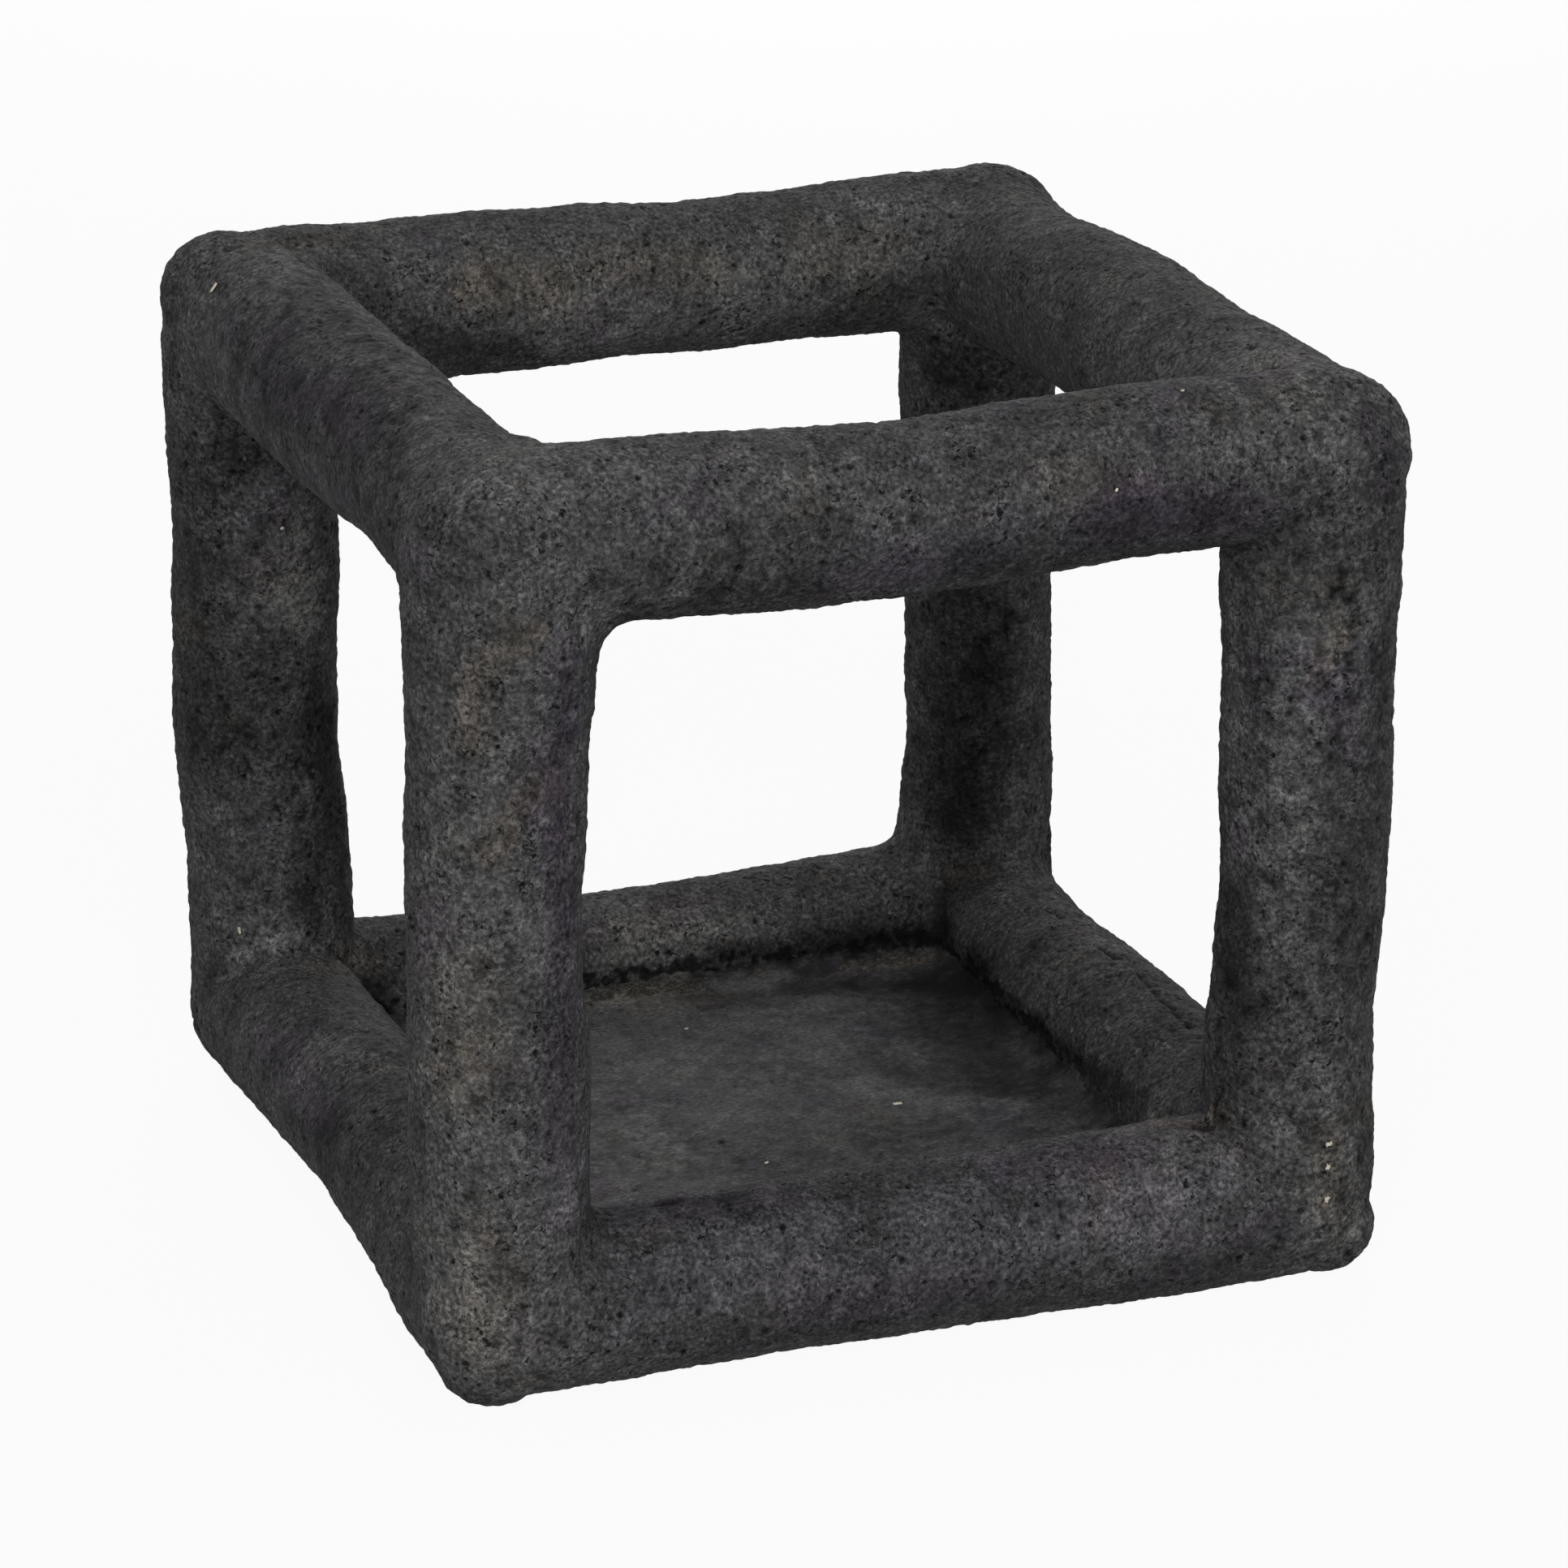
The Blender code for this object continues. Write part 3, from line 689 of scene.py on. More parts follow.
def skin_distance(points, forms):
    """Distance from the melted skin of all the forms, and the way out of it."""
    swell = layered(points, WAVES) * MM
    melt = fillet_sizes(points) * MELT
    distance = np.full(len(points), FAR)
    outward = np.zeros((len(points), 3))
    for form in forms:
        near = np.flatnonzero(form.near(points))
        new, way = form.distance(points[near], swell[near])
        old, old_way = distance[near], outward[near]
        apart = 1 - (way * old_way).sum(1).clip(0, 1)
        reach = np.where(old < FAR, melt[near] * apart, 0) + 1e-7
        share = (0.5 + 0.5 * (new - old) / reach).clip(0, 1)
        distance[near] = new + (old - new) * share - reach * share * (1 - share)
        mixed = way + (old_way - way) * share[:, None]
        outward[near] = mixed / np.maximum(np.linalg.norm(mixed, axis=1, keepdims=True), 1e-9)
    return distance, outward


def sample_skin(bars, forms):
    """The distance from the skin on a grid: true near the skin, and only its sign elsewhere."""
    low = np.array(CAD_BOX[0]) - GRID_MARGIN
    counts = np.ceil((np.array(CAD_BOX[1]) + GRID_MARGIN - low) / CELL).astype(int) + 1
    lines = [low[a] + CELL * np.arange(counts[a]) for a in range(3)]
    field = np.full(counts, FAR)
    for bar in bars:
        block = tuple(slice(*np.searchsorted(lines[a], (bar.low[a], bar.high[a]))) for a in range(3))
        sub = [lines[a][block[a]] for a in range(3)]
        points = np.stack(np.meshgrid(*sub, indexing="ij"), -1).reshape(-1, 3)
        plain = bar.distance(points, np.zeros(len(points)))[0]
        field[block] = np.minimum(field[block], plain.reshape(field[block].shape))
    band = np.argwhere(abs(field) < TRUE_BAND)
    points = low + band * CELL
    field[tuple(band.T)] = skin_distance(points, forms)[0]
    return field, low


def net_of_squares(field, low):
    """One point in each cell that the skin crosses, and one square around each edge it crosses."""
    inside = field < 0
    cells = tuple(n - 1 for n in field.shape)

    def shifted(array, offset):
        return array[tuple(slice(o, o + n) for o, n in zip(offset, cells))]

    count = sum(shifted(inside, offset).astype(np.int8) for offset in CELL_CORNERS)
    crossed = np.argwhere((count > 0) & (count < len(CELL_CORNERS)))
    number = np.full(cells, -1)
    number[tuple(crossed.T)] = np.arange(len(crossed))
    total = np.zeros((len(crossed), 3))
    hits = np.zeros(len(crossed))
    for offset in CELL_CORNERS:
        for axis in range(3):
            if offset[axis]:
                continue
            step = np.eye(3, dtype=int)[axis]
            a = field[tuple((crossed + offset).T)]
            b = field[tuple((crossed + offset + step).T)]
            cut = (a < 0) != (b < 0)
            share = np.where(cut, a / np.where(cut, a - b, 1), 0)
            total += cut[:, None] * (np.array(offset) + share[:, None] * step)
            hits += cut
    points = low + (crossed + total / hits[:, None]) * CELL
    squares = []
    for axis in range(3):
        u, v = np.eye(3, dtype=int)[[(axis + 1) % 3, (axis + 2) % 3]]
        step = np.eye(3, dtype=int)[axis]
        inner = tuple(slice(1, n - 1) for n in field.shape)
        beyond = tuple(slice(1 + s, n - 1 + s) for s, n in zip(step, field.shape))
        here = np.argwhere(inside[inner] != inside[beyond]) + 1
        ring = [number[tuple((here - o).T)] for o in (u + v, v, 0 * u, u)]
        ring = np.stack(ring, 1)
        turned = ~inside[tuple(here.T)]
        ring[turned] = ring[turned, ::-1]
        squares.append(ring)
    return points, np.concatenate(squares)


def edges_of(squares):
    return np.stack([squares, np.roll(squares, -1, 1)], -1).reshape(-1, 2)


def summed(index, values, count):
    return np.stack([np.bincount(index, values[:, a], count) for a in range(3)], 1)


def settle(points, forms, rounds=2):
    """Moves points onto the skin."""
    for _ in range(rounds):
        distance, outward = skin_distance(points, forms)
        points = points - outward * distance.clip(-CELL, CELL)[:, None]
    return points


def eased(points, squares, forms):
    """Evens out the squares, with their points still on the skin."""
    a, b = edges_of(squares).T
    count = np.bincount(a, minlength=len(points))[:, None]
    for _ in range(EASE_ROUNDS):
        total = summed(a, points[b], len(points))
        points = settle((1 - EASE) * points + EASE * total / count, forms, 1)
    return points


def halved(points, squares):
    """Each square as four."""
    pairs = np.sort(edges_of(squares), 1)
    keys, index = np.unique(pairs[:, 0] * len(points) + pairs[:, 1], return_inverse=True)
    ends = np.stack([keys // len(points), keys % len(points)], 1)
    middles = points[ends].mean(1)
    centres = points[squares].mean(1)
    side = len(points) + index.reshape(-1, 4)
    centre = len(points) + len(middles) + np.arange(len(squares))
    made = [np.stack([squares[:, i], side[:, i], centre, side[:, i - 1]], 1) for i in range(4)]
    return np.concatenate([points, middles, centres]), np.concatenate(made)


def normals_of(points, squares):
    a, b, c, d = (points[squares[:, i]] for i in range(4))
    facing = np.cross(c - a, d - b)
    total = sum(summed(squares[:, i], facing, len(points)) for i in range(4))
    return total / np.maximum(np.linalg.norm(total, axis=1, keepdims=True), 1e-12)


def specks(points, rareness, spacing, least, most, share, seed):
    """Depth in metres of scattered round pits, whose sizes are in millimetres."""
    share = 2 * share * (1 - rareness) * (1 + layered(points, PIT_CROWDS))
    draws = np.random.default_rng(seed).random((PIT_DRAWS, 5))
    lattice = points / (spacing * MM)
    first = np.floor(lattice - 0.5).astype(np.int64)
    depth = np.zeros(len(points))
    for offset in CELL_CORNERS:
        cell = first + offset
        draw = draws[(cell @ PIT_FACTORS) & (PIT_DRAWS - 1)]
        radius = (least + (most - least) * draw[:, 3] ** 2) / spacing
        off = lattice - cell - PIT_FIRST - PIT_ROOM * draw[:, :3]
        inside = (1 - (off**2).sum(1) / radius**2).clip(0) * (draw[:, 4] < share)
        np.maximum(depth, inside * radius * spacing * MM, out=depth)
    return depth


def owners(points, bars):
    """The number of the bar that each point belongs to."""
    best = np.full(len(points), FAR)
    owner = np.zeros(len(points), int)
    for number, bar in enumerate(bars):
        near = np.flatnonzero(bar.near(points))
        distance = bar.distance(points[near], np.zeros(len(near)))[0]
        distance -= POST_CLAIM * MM * (bar.axis == Z)
        won = distance < best[near]
        best[near[won]] = distance[won]
        owner[near[won]] = number
    return owner


def camera_axes():
    """The camera's right, up and back."""
    azimuth, elevation, roll = map(math.radians, (CAMERA_AZIMUTH, CAMERA_ELEVATION, CAMERA_ROLL))
    level = math.cos(elevation)
    back = np.array([math.sin(azimuth) * level, -math.cos(azimuth) * level, math.sin(elevation)])
    flat = np.array([math.cos(azimuth), math.sin(azimuth), 0])
    over = np.cross(back, flat)
    right = math.cos(roll) * flat + math.sin(roll) * over
    up = math.cos(roll) * over - math.sin(roll) * flat
    return right, up, back


class Sight:
    """Finds the point of the surface that a pixel of the photograph shows."""

    def __init__(self, points, normals):
        right, up, back = camera_axes()
        off = points - CAMERA_PLACE
        self.points = points
        self.normals = normals
        self.depth = -(off @ back)
        scale = PICTURE * LENS / SENSOR / self.depth
        self.column = PICTURE / 2 + off @ right * scale
        self.row = PICTURE / 2 - off @ up * scale

    def index(self, pixel):
        beside = abs(self.column - pixel[0]) < PIXEL_REACH
        level = abs(self.row - pixel[1]) < PIXEL_REACH
        near = np.flatnonzero(beside & level)
        return near[self.depth[near].argmin()]

    def path(self, pixels):
        return np.array([self.points[self.index(pixel)] for pixel in pixels])


def find_marks(sight):
    """All marks as kind, half width, strength and path on the surface."""
    found = []
    for kind, marks in MARKS.items():
        for width, strength, *pixels in marks:
            found.append((kind, width, strength, sight.path(pixels)))
    return found


def closeness(points, path, width):
    """1 on a path of straight stretches, fading to 0 within about two widths of it."""
    reach = MARK_REACH * width
    near = ((points > path.min(0) - reach) & (points < path.max(0) + reach)).all(1)
    near = np.flatnonzero(near)
    away = np.full(len(near), np.inf)
    for start, end in zip(path[:-1], path[1:]):
        along = end - start
        share = ((points[near] - start) @ along / (along @ along)).clip(0, 1)
        away = np.minimum(away, np.linalg.norm(points[near] - start - share[:, None] * along, axis=1))
    return near, np.exp(-((away / width) ** 2))


def hollows(points, rareness):
    """Small ragged hollows, from 0 to 1, gathered in some places more than in others."""
    return ((layered(points, HOLLOW_FORM) - rareness) * HOLLOW_SLOPE).clip(0, 1)


def weathered(points, normals, marks, grain, rareness, mottling):
    """The surface with its grain, hollows and creases, and the tint of each point."""
    height = layered(points, grain) * MM
    relief = height / sum(layer[1] * MM for layer in grain)
    # Random mottle, plus painted light and shade on the grain: its tops lighter, its valleys darker
    mottle_and_grain_shade = mottling * (layered(points, MOTTLE) + PAINTED_GRAIN_SHADING * relief)
    tints = np.repeat(1 + mottle_and_grain_shade[:, None], 3, 1)
    ragged = layered(points, RAGGED)
    for kind, size, rarity, strength, seed in PATCHES:
        colour = np.array(MARK_KINDS[kind][0])
        field = noise(points, size * MM, seed) + PATCH_RAGGED * ragged
        weight = ((field - rarity) * PATCH_SLOPE).clip(0, 1) * strength
        tints *= 1 + weight[:, None] * (colour - 1)
    # Marks tint the colour; the light, shade, soot and crease marks also paint light and shade into it
    for kind, width, strength, path in marks:
        near, weight = closeness(points, path, width * MM)
        colour, sink, softness = MARK_KINDS[kind]
        edged = ((weight + MARK_RAGGED * ragged[near] - MARK_EDGE) * MARK_SLOPE).clip(0, 1)
        weight = strength * (softness * weight + (1 - softness) * edged)
        tints[near] *= 1 + weight.clip(0, 1)[:, None] * (np.array(colour) - 1)
        height[near] -= weight * sink * MM
    depth = specks(points, rareness, *PITS)
    hollow = hollows(points, rareness)
    height -= depth + HOLLOW_DEPTH * MM * hollow
    # Painted shade: pits are darkened by their depth, and hollows by how hollow they are
    darker = PIT_PAINTED_SHADE * (depth / (PIT_DARK_DEPTH * MM)).clip(0, 1) * (1 - hollow)
    tints *= (1 - darker - HOLLOW_PAINTED_SHADE * hollow)[:, None]
    return points + normals * height[:, None], tints.clip(*TINT_RANGE)


def wrapped(bar, places, faces):
    """Map of a bar's skin for baking: round the bar by along it, with the ends rolled out flat."""
    across, beside = [axis for axis in (Z, X, Y) if axis != bar.axis]
    angle = np.arctan2(places[:, beside] - bar.start[beside], places[:, across] - bar.start[across])
    along = places[:, bar.axis]
    first, last = bar.start[bar.axis], bar.end[bar.axis]
    over = along - along.clip(first, last)
    full = BAR_RADIUS + END_SPARE
    along = along - over + full * np.arcsin((over / full).clip(-1, 1))
    u = angle[faces]
    u = np.where(u.max(1, keepdims=True) - u > math.pi, u + 2 * math.pi, u)
    v = along[faces]
    u = MAP_MARGIN + SKIN_WIDE * (u - u.min()) / (u.max() - u.min())
    v = MAP_MARGIN + SKIN_HIGH * (v - v.min()) / (v.max() - v.min())
    return np.stack([u, v], -1)


def added(name, data):
    thing = bpy.data.objects.new(name, data)
    bpy.context.scene.collection.objects.link(thing)
    return thing


def placed(mesh, material):
    mesh.materials.append(material)
    piece = added(mesh.name, mesh)
    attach(piece, "root")
    return piece


def closed_piece(name, points, normals, tints, squares, apexes, material, bar=None):
    """A mesh of some squares of a net, closed at its rims by cones to the nearest apex."""
    used, index = np.unique(squares, return_inverse=True)
    faces = index.reshape(squares.shape)
    edges = edges_of(faces)
    keys = edges[:, 0] * len(used) + edges[:, 1]
    rim = edges[~np.isin(keys, edges[:, 1] * len(used) + edges[:, 0])]
    mids = points[used[rim]].mean(1)
    nearest = np.linalg.norm(mids[:, None] - apexes, axis=2).argmin(1)
    kinds, apex = np.unique(nearest, return_inverse=True)
    caps = np.stack([rim[:, 1], rim[:, 0], len(used) + apex], 1)
    places = np.concatenate([points[used], apexes[kinds]])
    mesh = bpy.data.meshes.new(name)
    mesh.from_pydata(places.tolist(), [], faces.tolist() + caps.tolist())
    mesh.shade_smooth()
    inward = np.tile((0.0, 0.0, 1.0), (len(kinds), 1))
    mesh.normals_split_custom_set_from_vertices(np.concatenate([normals[used], inward]).tolist())
    colours = np.ones((len(places), 4))
    colours[: len(used), :3] = tints[used]
    mesh.attributes.new("tint", "FLOAT_COLOR", "POINT").data.foreach_set("color", colours.ravel())
    if bar:
        skin_map = wrapped(bar, places, faces)
    else:
        flat = (places[faces][:, :, :2] + FLOOR_REACH) / (2 * FLOOR_REACH)
        skin_map = MAP_MARGIN + SKIN_WIDE * flat
    step = np.arange(len(caps))[:, None] + np.array([0, 1, 0.5])
    cap_map = np.stack([np.tile(CAP_COLUMNS, (len(caps), 1)), step / (len(caps) + 1)], -1)
    baked = mesh.uv_layers.new(name="OFBake")
    baked.uv.foreach_set("vector", np.concatenate([skin_map.ravel(), cap_map.ravel()]))
    return placed(mesh, material)


def joined_piece(name, shell, material):
    """A piece made of the faces that have been gathered in a bmesh."""
    mesh = bpy.data.meshes.new(name)
    shell.to_mesh(mesh)
    shell.free()
    mesh.shade_smooth()
    return placed(mesh, material)


class Graph:
    """The node graph of a material or a world, with short calls to add to it."""

    def __init__(self, owner):
        self.owner = owner
        owner.use_nodes = True
        self.nodes = owner.node_tree.nodes

    def link(self, output, socket):
        self.owner.node_tree.links.new(output, socket)

    def add(self, kind, settings=None, **inputs):
        node = self.nodes.new(kind)
        for name, value in (settings or {}).items():
            setattr(node, name, value)
        for name, value in inputs.items():
            socket = node.inputs[int(name[1:])] if name[1:].isdigit() else node.inputs[name]
            if isinstance(value, bpy.types.NodeSocket):
                self.link(value, socket)
            else:
                socket.default_value = value
        return node

    def places(self, stretch=(1, 1, 1)):
        coordinates = self.add("ShaderNodeTexCoord").outputs["Object"]
        return self.add("ShaderNodeMapping", Vector=coordinates, Scale=stretch).outputs["Vector"]

    def noise(self, places, size, detail=3.0, roughness=0.6, distortion=0.0):
        """Noise with features of this many millimetres."""
        node = self.add("ShaderNodeTexNoise", Vector=places, Scale=1 / (size * MM), Detail=detail)
        node.inputs["Roughness"].default_value = roughness
        node.inputs["Distortion"].default_value = distortion
        return node.outputs["Fac"]

    def ramp(self, factor, *stops):
        """Colours along a factor. Each stop is a place and a grey or a colour."""
        node = self.add("ShaderNodeValToRGB", Fac=factor)
        elements = node.color_ramp.elements
        while len(elements) < len(stops):
            elements.new(1.0)
        for element, (place, colour) in zip(elements, stops):
            element.position = place
            element.color = (*(colour if isinstance(colour, tuple) else (colour,) * 3), 1)
        return node.outputs["Color"]

    def multiply(self, first, second):
        settings = {"data_type": "RGBA", "blend_type": "MULTIPLY"}
        return self.add("ShaderNodeMix", settings, _0=1.0, _6=first, _7=second).outputs[2]

    def finish(self, colour, roughness, relief, depth):
        """Links a colour, a roughness and a relief of this many millimetres to the shader."""
        bump = self.add("ShaderNodeBump", Height=relief, Strength=1.0, Distance=depth * MM)
        shader = self.nodes["Principled BSDF"].inputs
        self.link(colour, shader["Base Color"])
        self.link(roughness, shader["Roughness"])
        self.link(bump.outputs["Normal"], shader["Normal"])
        shader["Specular IOR Level"].default_value = GLOSS
        return self.owner

    def shown(self):
        """1 for rays that show a surface itself: from the camera, mirrored or seen through glass."""
        path = self.add("ShaderNodeLightPath").outputs
        total = path["Is Camera Ray"]
        for name in ("Is Glossy Ray", "Is Transmission Ray"):
            larger = self.add("ShaderNodeMath", {"operation": "MAXIMUM"}, _0=total, _1=path[name])
            total = larger.outputs[0]
        return total


def pulp_material(name, stretch, fleck, depth, stops, dent_stops):
    """Matt grey pulp with light and dark flecks and tiny pale fibres, tinted by the net."""
    graph = Graph(bpy.data.materials.new(name))
    places = graph.places(stretch)
    flecks = graph.noise(places, fleck, 4, 0.62, 0.4)
    tint = graph.add("ShaderNodeAttribute", {"attribute_name": "tint"}).outputs["Color"]
    fibres = graph.ramp(graph.noise(places, 1.5 * fleck, 2, 0.5, 0.3), *PULP_FIBRES)
    crowding = graph.noise(places, 7 * fleck, 2)
    lows = graph.add(
        "ShaderNodeMath",
        {"operation": "MULTIPLY_ADD"},
        _0=crowding,
        _1=DENTS_GATHER,
        _2=graph.noise(places, 1.2 * fleck, 1.5, 0.5, 0.8),
    ).outputs[0]
    # Painted shade: dark specks for tiny dents
    dents = graph.ramp(lows, *dent_stops)
    speckled = graph.multiply(graph.multiply(graph.ramp(flecks, *stops), fibres), dents)
    calm = graph.ramp(graph.noise(places, 8 * fleck, 2), *PULP_CALM)
    plain = (*(stops[1][1],) * 3, 1)
    settings = {"data_type": "RGBA"}
    evened = graph.add("ShaderNodeMix", settings, _0=calm, _6=speckled, _7=plain).outputs[2]
    colour = graph.multiply(evened, tint)
    roughness = graph.ramp(graph.noise(places, 4 * fleck), *PULP_ROUGHNESS)
    return graph.finish(colour, roughness, flecks, depth)


def card_material(name, dark, light):
    """Plain card: pressed fibres in faint bands."""
    graph = Graph(bpy.data.materials.new(name))
    places = graph.places((1, 1, 0.12))
    fibres = graph.noise(places, 1.6, 5, 0.7, 0.8)
    bands = graph.ramp(graph.noise(graph.places((0.02, 0.02, 1)), 14, 1), (0.4, 0.88), (0.6, 1.05))
    colour = graph.multiply(graph.ramp(fibres, (0.35, dark), (0.65, light)), bands)
    roughness = graph.ramp(fibres, (0.3, 0.75), (0.7, 0.95))
    return graph.finish(colour, roughness, fibres, 0.1)


def paper_material(name, size, depth, stops):
    """Matt paper with flecks of this many millimetres, coloured along their noise."""
    graph = Graph(bpy.data.materials.new(name))
    flecks = graph.noise(graph.places((1, 1, 0.4)), size, 4, 0.7, 0.6)
    roughness = graph.ramp(flecks, (0.3, 0.8), (0.7, 1.0))
    return graph.finish(graph.ramp(flecks, *stops), roughness, flecks, depth)


def add_camera():
    right, up, back = (Vector(axis) for axis in camera_axes())
    data = bpy.data.cameras.new("camera")
    data.sensor_width = SENSOR
    data.lens = LENS
    camera = added("camera", data)
    turned = Matrix((right, up, back)).transposed().to_4x4()
    camera.matrix_world = Matrix.Translation(CAMERA_PLACE) @ turned
    bpy.context.scene.camera = camera


def add_world():
    """White where it is seen, and a dim white light elsewhere."""
    world = bpy.data.worlds.new("world")
    bpy.context.scene.world = world
    graph = Graph(world)
    strength = graph.add("ShaderNodeMapRange", Value=graph.shown())
    strength.inputs["To Min"].default_value = AMBIENT
    strength.inputs["To Max"].default_value = 1.0
    background = graph.nodes["Background"].inputs
    background["Color"].default_value = (1, 1, 1, 1)
    graph.link(strength.outputs["Result"], background["Strength"])


def add_floor():
    """A pale floor, which is nearly white where it is seen and still takes the object's shadow."""
    graph = Graph(bpy.data.materials.new("pale_floor"))
    shader = graph.nodes["Principled BSDF"]
    grain = graph.noise(graph.places(), 300, 3)
    graph.link(graph.ramp(grain, *PALE_GREYS), shader.inputs["Base Color"])
    shader.inputs["Roughness"].default_value = 1.0
    shader.inputs["Specular IOR Level"].default_value = 0.0
    glow = graph.add("ShaderNodeEmission", Strength=1.0).outputs[0]
    rays = graph.shown()
    seen = graph.add("ShaderNodeMath", {"operation": "MULTIPLY"}, _0=rays, _1=FLOOR_GLOW).outputs[0]
    blend = graph.add("ShaderNodeMixShader", _0=seen, _1=shader.outputs[0], _2=glow)
    graph.link(blend.outputs[0], graph.nodes["Material Output"].inputs["Surface"])
    mesh = bpy.data.meshes.new("floor")
    reach = FLOOR_SIZE / 2
    corners = [(x * reach, y * reach, GROUND) for x, y in ((-1, -1), (1, -1), (1, 1), (-1, 1))]
    mesh.from_pydata(corners, [], [(0, 1, 2, 3)])
    mesh.materials.append(graph.owner)
    floor = added("floor", mesh)


def add_lamps():
    for name, place, size, power in LAMPS:
        data = bpy.data.lights.new(name, "AREA")
        data.shape = "DISK"
        data.size = size
        data.energy = power
        lamp = added(name, data)
        lamp.location = place
        aim = Vector((0, 0, SUMMIT / 2)) - lamp.location
        lamp.rotation_euler = aim.to_track_quat("-Z", "Y").to_euler()


def skin_net(bars):
    """The bars' smooth skin as points and squares."""
    forms = bars + lay_out_knobs()
    points, squares = net_of_squares(*sample_skin(bars, forms))
    points = eased(settle(points, forms), squares, forms)
    points, squares = halved(points, squares)
    return settle(points, forms, 1), squares


def floor_inset(points):
    """How far points are from the inner sides of the bottom rails."""
    return PLACES["right"] - BAR_RADIUS - abs(points[:, :2]).max(1)


def lip_height(points):
    return LIP_HEIGHT - LIP_DROP * (points[:, Y] / FLOOR_REACH).clip(0, 1) ** LIP_TURN


def floor_net(level, facing):
    """A net between the bottom rails, facing up or down. It rises to the rails in a rough cove."""
    count = round(2 * FLOOR_REACH / FLOOR_SQUARE) + 1
    line = np.linspace(-FLOOR_REACH, FLOOR_REACH, count)
    points = np.stack(np.meshgrid(line, line, [level], indexing="ij"), -1).reshape(-1, 3)
    inset = floor_inset(points)
    lip = lip_height(points) * (1 + layered(points, LIP_SWELLS)) + layered(points, LIP_ROUGH)
    cove = lip * np.exp(-inset.clip(0) / (LIP_REACH * MM))
    sunk = RIM_DROP * (-inset / MM - RIM_START).clip(0) ** 2
    points[:, Z] += facing * (cove - sunk) * MM
    row, column = np.meshgrid(np.arange(count - 1), np.arange(count - 1), indexing="ij")
    first = (row * count + column).ravel()
    squares = np.stack([first, first + count, first + count + 1, first + 1], 1)
    return points, squares[:, ::facing]


def crevice(points):
    """How deep each point of the rails lies in the ragged crevice above the floor's lip, which is
    painted black as painted shade.
    """
    inside = (abs(points[:, :2]) < PLACES["right"]).all(1)
    middle_height = lip_height(points) + CREVICE_RISE + layered(points, CREVICE_WANDERS)
    above = (points[:, Z] - FLOOR_TOP) / MM - middle_height
    ragged = 1 + layered(points, CREVICE_RAGGED)
    gap = np.exp(-((above / CREVICE_WIDTH) ** 2)) * ragged
    fading = (1 + points[:, Y] / CREVICE_FADE).clip(CREVICE_LEFT, 1)
    return ((gap - CREVICE_EDGE) * CREVICE_SLOPE).clip(0, 1) * inside * fading


def add_bars(bars, points, squares, marks, material):
    owner = owners(points[squares].mean(1), bars)
    point_owner = owners(points, bars)
    rareness = np.array([HOLLOWED.get(bar.name, HOLLOWS) for bar in bars])[point_owner]
    mottling = np.array([MOTTLED.get(bar.name, 1.0) for bar in bars])[point_owner]
    smooth_normals = normals_of(points, squares)
    points, tints = weathered(points, smooth_normals, marks, GRAIN, rareness, mottling)
    gap = crevice(points)[:, None]
    points -= smooth_normals * gap * CREVICE_DEPTH * MM
    points[:, Z] = points[:, Z].clip(GROUND)
    # Painted shade: the crevice is darkened
    tints *= 1 - CREVICE_PAINTED_SHADE * gap
    normals = normals_of(points, squares)
    corners = np.array([corner(*names) for names in CORNERS])
    for number, bar in enumerate(bars):
        own = squares[owner == number]
        piece = closed_piece(f"{bar.name}_skin", points, normals, tints, own, corners, material, bar)
        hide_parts(bar.name)


def add_floor_coat(name, points, squares, marks, board_level, material):
    # Part dirt, part painted shade: the floor is darkened near the rails
    dirt_and_shade = EDGE_DIRT_AND_SHADE * np.exp(-((floor_inset(points).clip(0) / EDGE_DARKENING_REACH) ** 2))
    dirt_and_shade *= (EDGE_DARKENING_MEAN + layered(points, EDGE_DARKENING_PATCHES)).clip(0, EDGE_DARKENING_MOST)
    smooth_normals = normals_of(points, squares)
    looks = FLOOR_GRAIN, FLOOR_HOLLOWS, FLOOR_MOTTLED
    points, tints = weathered(points, smooth_normals, marks, *looks)
    tints *= 1 - dirt_and_shade[:, None]
    normals = normals_of(points, squares)
    apex = np.array([(0, 0, board_level)])
    piece = closed_piece(f"{name}_skin", points, normals, tints, squares, apex, material)
    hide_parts(name)


def add_chips(sight, material):
    """Thin bent flakes of paper, half sunk in the skin."""
    shell = bmesh.new()
    for column, row, length, width, turn in CHIPS:
        index = sight.index((column, row))
        out = Vector(sight.normals[index])
        right = Vector(camera_axes()[0])
        along = (right - right.dot(out) * out).normalized()
        upright = Matrix((along, out.cross(along), out)).transposed()
        facing = upright @ Matrix.Rotation(math.radians(turn), 3, "Z")
        flake = bmesh.ops.create_grid(shell, x_segments=5, y_segments=4, size=0.5)["verts"]
        thick = bmesh.ops.extrude_face_region(shell, geom=list({f for v in flake for f in v.link_faces}))
        upper = [part for part in thick["geom"] if isinstance(part, bmesh.types.BMVert)]
        for vert in flake + upper:
            x, y = vert.co.x, vert.co.y
            ragged = 1 + CHIP_RAGGED * math.sin(7 * x + column) * math.cos(9 * y + row)
            bend = 0.5 * x * x - 0.3 * y * y + 0.2 * x
            raised = CHIP_FACES[vert in upper]
            half = y * width * ragged * (1 - 0.8 * x * x)
            spot = Vector((x * length * ragged, half, raised + bend * 0.5))
            vert.co = Vector(sight.points[index]) + facing @ (spot * MM)
    bmesh.ops.recalc_face_normals(shell, faces=shell.faces)
    piece = joined_piece("paper_chips", shell, material)


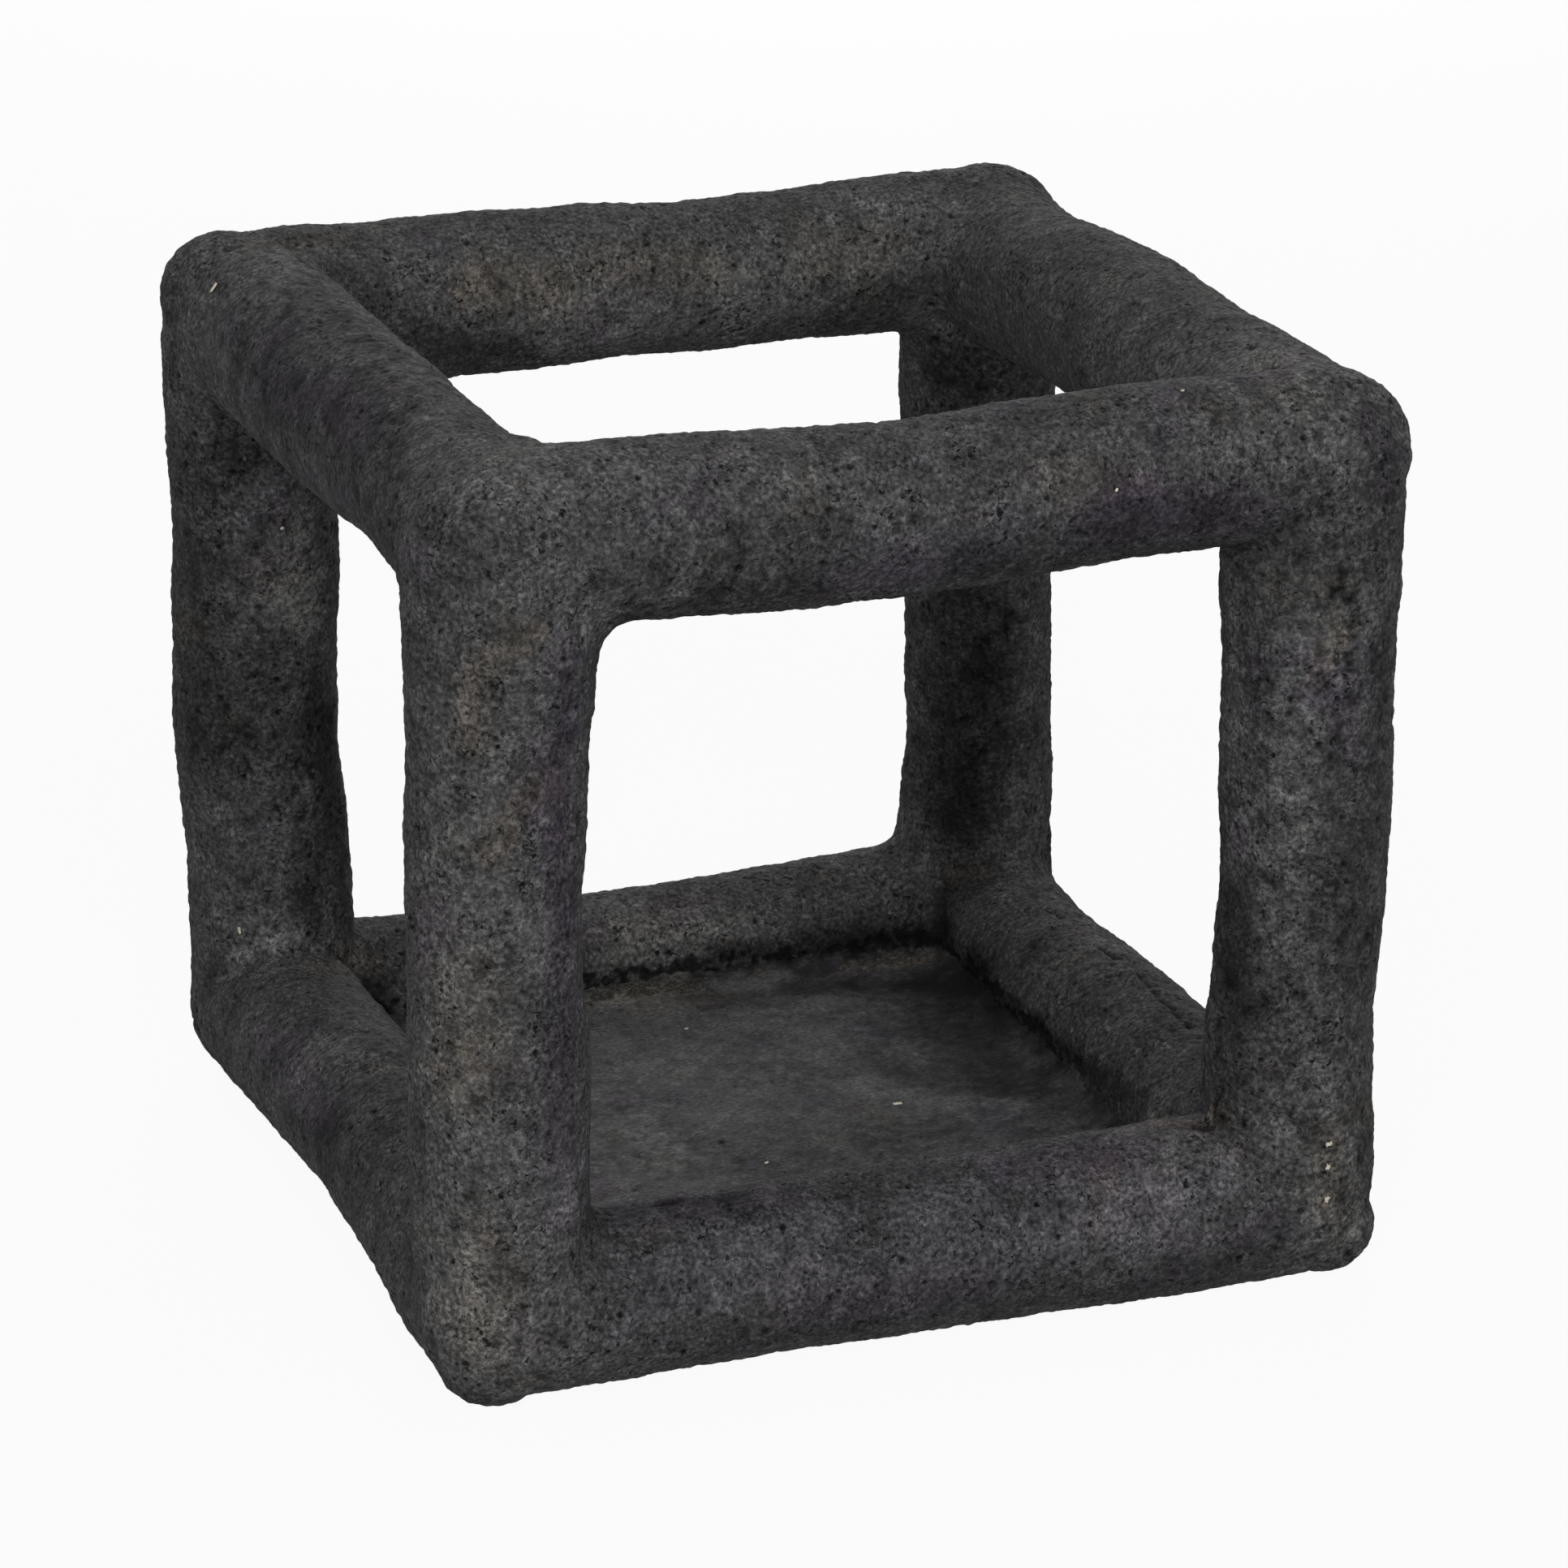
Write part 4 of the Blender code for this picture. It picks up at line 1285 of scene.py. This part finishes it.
def add_crumbs(sight, material):
    """Small lumps of pulp that lie along the floor's edges."""
    rng = random.Random(CRUMB_SEED)
    shell = bmesh.new()
    for count, start, end in CRUMBS:
        for _ in range(count):
            pixel = Vector(start).lerp(Vector(end), rng.random())
            pixel += Vector((rng.gauss(0, CRUMB_SCATTER), rng.gauss(0, CRUMB_SCATTER)))
            spot = Vector(sight.points[sight.index(pixel)])
            radius = rng.uniform(*CRUMB_RADII)
            verts = bmesh.ops.create_icosphere(shell, subdivisions=2, radius=radius)["verts"]
            stretch = Vector([rng.uniform(*limits) for limits in CRUMB_STRETCH])
            phase = rng.uniform(0, 9)
            for vert in verts:
                turned = vert.co / radius
                bump = math.sin(4 * turned.x + phase) * math.cos(5 * turned.y - phase + 3 * turned.z)
                vert.co = spot + vert.co * (1 + CRUMB_BUMPS * bump) * stretch
    piece = joined_piece("floor_crumbs", shell, material)


def dress_cards():
    """Card materials for the tubes and the board inside the pulp."""
    tube = card_material("tube_card", *TUBE_CARD)
    board = card_material("board_card", *BOARD_CARD)
    for name, node in frame["nodes"].items():
        if name.endswith("_tube"):
            node.data.materials[0] = tube
        elif name == "floor_board":
            node.data.materials[0] = board


add_camera()
add_world()
add_floor()
add_lamps()
dress_cards()

BARS = lay_out_bars()
SKIN, SKIN_SQUARES = skin_net(BARS)
FLOOR_SKIN, FLOOR_SQUARES = floor_net(FLOOR_TOP, 1)
UNDER_SKIN, UNDER_SQUARES = floor_net(FLOOR_UNDER, -1)
FLOOR_NORMALS = normals_of(FLOOR_SKIN, FLOOR_SQUARES)
NORMALS = np.concatenate([normals_of(SKIN, SKIN_SQUARES), FLOOR_NORMALS])
SIGHT = Sight(np.concatenate([SKIN, FLOOR_SKIN]), NORMALS)
FLOOR_SIGHT = Sight(FLOOR_SKIN, FLOOR_NORMALS)
FOUND_MARKS = find_marks(SIGHT)

BAR_PULP = pulp_material("charcoal_pulp", *PULP_FLECKS, PULP_GREYS, PULP_DENTS)
add_bars(BARS, SKIN, SKIN_SQUARES, FOUND_MARKS, BAR_PULP)
FLOOR_PULP = pulp_material("floor_pulp", *FLOOR_FLECKS, FLOOR_GREYS, FLOOR_DENTS)
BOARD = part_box("floor_board")
add_floor_coat("floor_top_coat", FLOOR_SKIN, FLOOR_SQUARES, FOUND_MARKS, BOARD[1].z, FLOOR_PULP)
add_floor_coat("floor_under_coat", UNDER_SKIN, UNDER_SQUARES, [], BOARD[0].z, FLOOR_PULP)
add_chips(SIGHT, paper_material("cream_paper", *CHIP_PAPER))
add_crumbs(FLOOR_SIGHT, paper_material("crumbs", *CRUMB_PAPER))
bpy.context.scene.view_settings.view_transform = "Standard"
